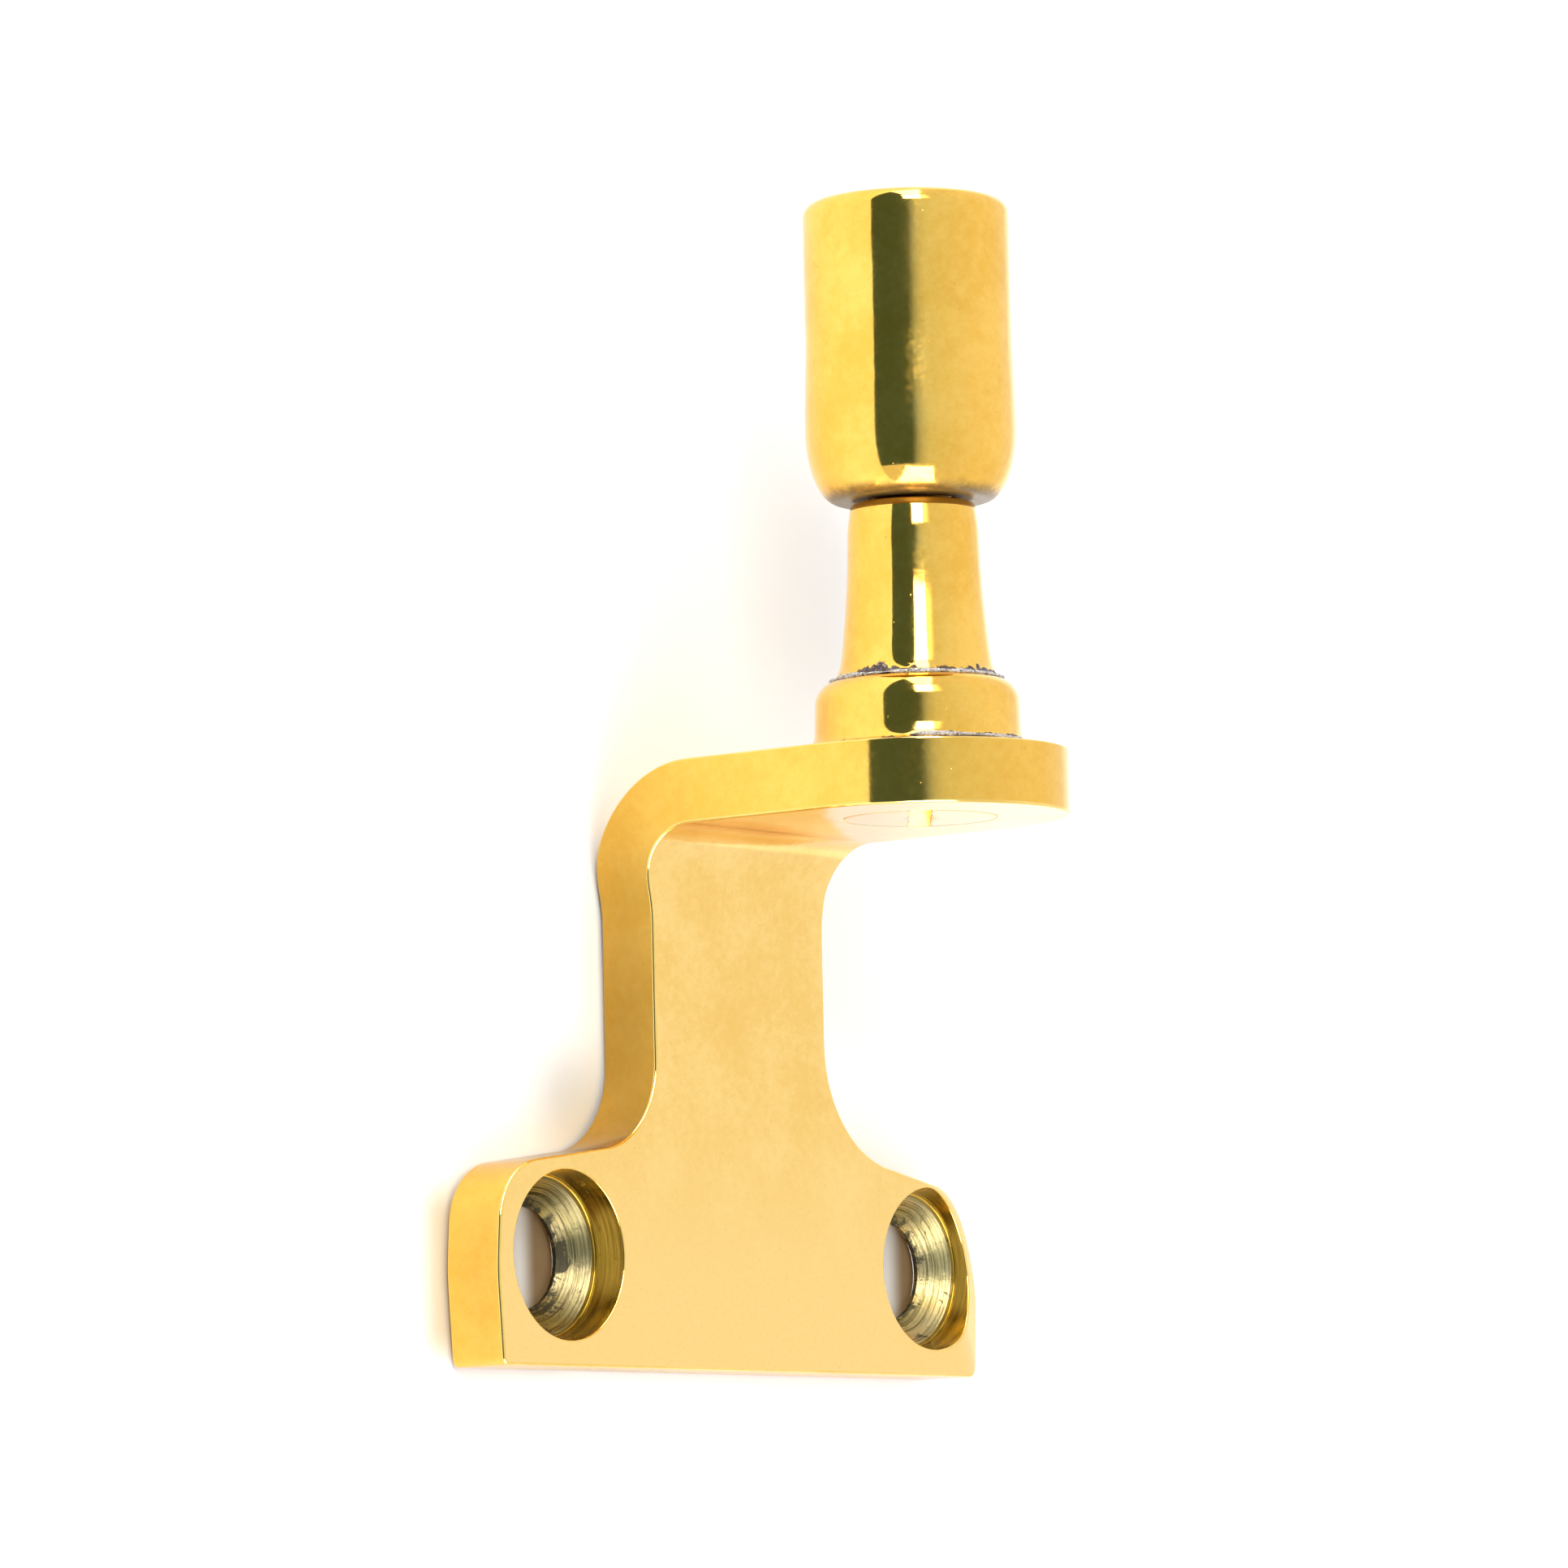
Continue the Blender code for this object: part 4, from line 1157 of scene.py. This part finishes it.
WHITE = (0.93, 0.925, 0.915)
rays = t.add("ShaderNodeLightPath")
# painted shade: a dark patch beside the neck, seen only in reflections
shadow_beside_neck = t.math("MULTIPLY", blob(-10.0, 8.0, 13.0, 15.0), 0.66)
# painted shadow with a warm painted bounce of light, beside the foot's left end
shadow_beside_foot = t.math("MULTIPLY", t.math("MULTIPLY", t.step(place.outputs["X"], -25.2, -22.2), t.step(place.outputs["X"], -10.0, -14.0)), t.math("MULTIPLY", t.step(place.outputs["Z"], -7.5, -4.0), t.step(place.outputs["Z"], 5.5, 2.0)))
seen = t.mix(t.math("MULTIPLY", shadow_beside_foot, 0.9), WHITE, (0.60, 0.50, 0.35))
# painted shadows beside the neck, seen by the camera
seen = t.mix(t.math("MULTIPLY", blob(-8.6, 2.2, 7.2, 3.2), 0.55), seen, (0.42, 0.40, 0.37))
seen = t.mix(t.math("MULTIPLY", blob(-11.0, 3.8, 9.2, 4.0), 0.78), seen, (0.44, 0.45, 0.46))
seen = t.mix(t.math("MULTIPLY", blob(-8.5, 1.7, 17.5, 7.0), 0.34), seen, (0.46, 0.44, 0.41))
# reflections see the table with painted shade beside the neck and left of the foot
painted_shade_mirrored = t.mix(t.math("MAXIMUM", shadow_beside_neck, t.math("MULTIPLY", blob(-25.0, 3.5, 0.0, 9.0), 0.26)), WHITE, (0.10, 0.09, 0.09))
t.link(t.mix(rays.outputs["Is Camera Ray"], painted_shade_mirrored, seen), shader.inputs["Base Color"])
# painted glow: a blue emission, for camera rays only, whitens the table under the foot
below = t.math("MULTIPLY", t.step(place.outputs["Z"], -5.0, -8.0), rays.outputs["Is Camera Ray"])
shader.inputs["Emission Color"].default_value = (0.30, 0.45, 1.0, 1.0)
t.link(t.math("MULTIPLY", below, 0.35), shader.inputs["Emission Strength"])
table_mesh.materials.append(mat)
# painted shade in the fixing holes: the table behind each hole turns dark brown towards its right side
hole_shade_mat = bpy.data.materials.new("table_in_holes_painted_shade")
h = Nodes(hole_shade_mat)
h.shader.inputs["Roughness"].default_value = 0.7
h.shader.inputs["Specular IOR Level"].default_value = 0.2
spot = h.add("ShaderNodeSeparateXYZ")
h.link(h.millimetres(), spot.inputs[0])
left_one = h.step(spot.outputs["X"], HOLES[0][0] + 1.9, HOLES[0][0] + 0.3)
right_one = h.step(spot.outputs["X"], HOLES[1][0] + 2.4, HOLES[1][0] + 0.5)
painted_hole_shade = h.mix(h.math("MAXIMUM", h.math("MULTIPLY", left_one, h.math("LESS_THAN", spot.outputs["X"], 0.0)), h.math("MULTIPLY", right_one, h.math("GREATER_THAN", spot.outputs["X"], 0.0))), (0.17, 0.105, 0.045), (0.62, 0.60, 0.58))
h.link(h.mix(h.math("MULTIPLY", h.noise(h.millimetres(), 0.5, 3), 0.15), painted_hole_shade, (0.40, 0.33, 0.24)), h.shader.inputs["Base Color"])
see_through(hole_shade_mat.node_tree, h.shader)
table_mesh.materials.append(hole_shade_mat)
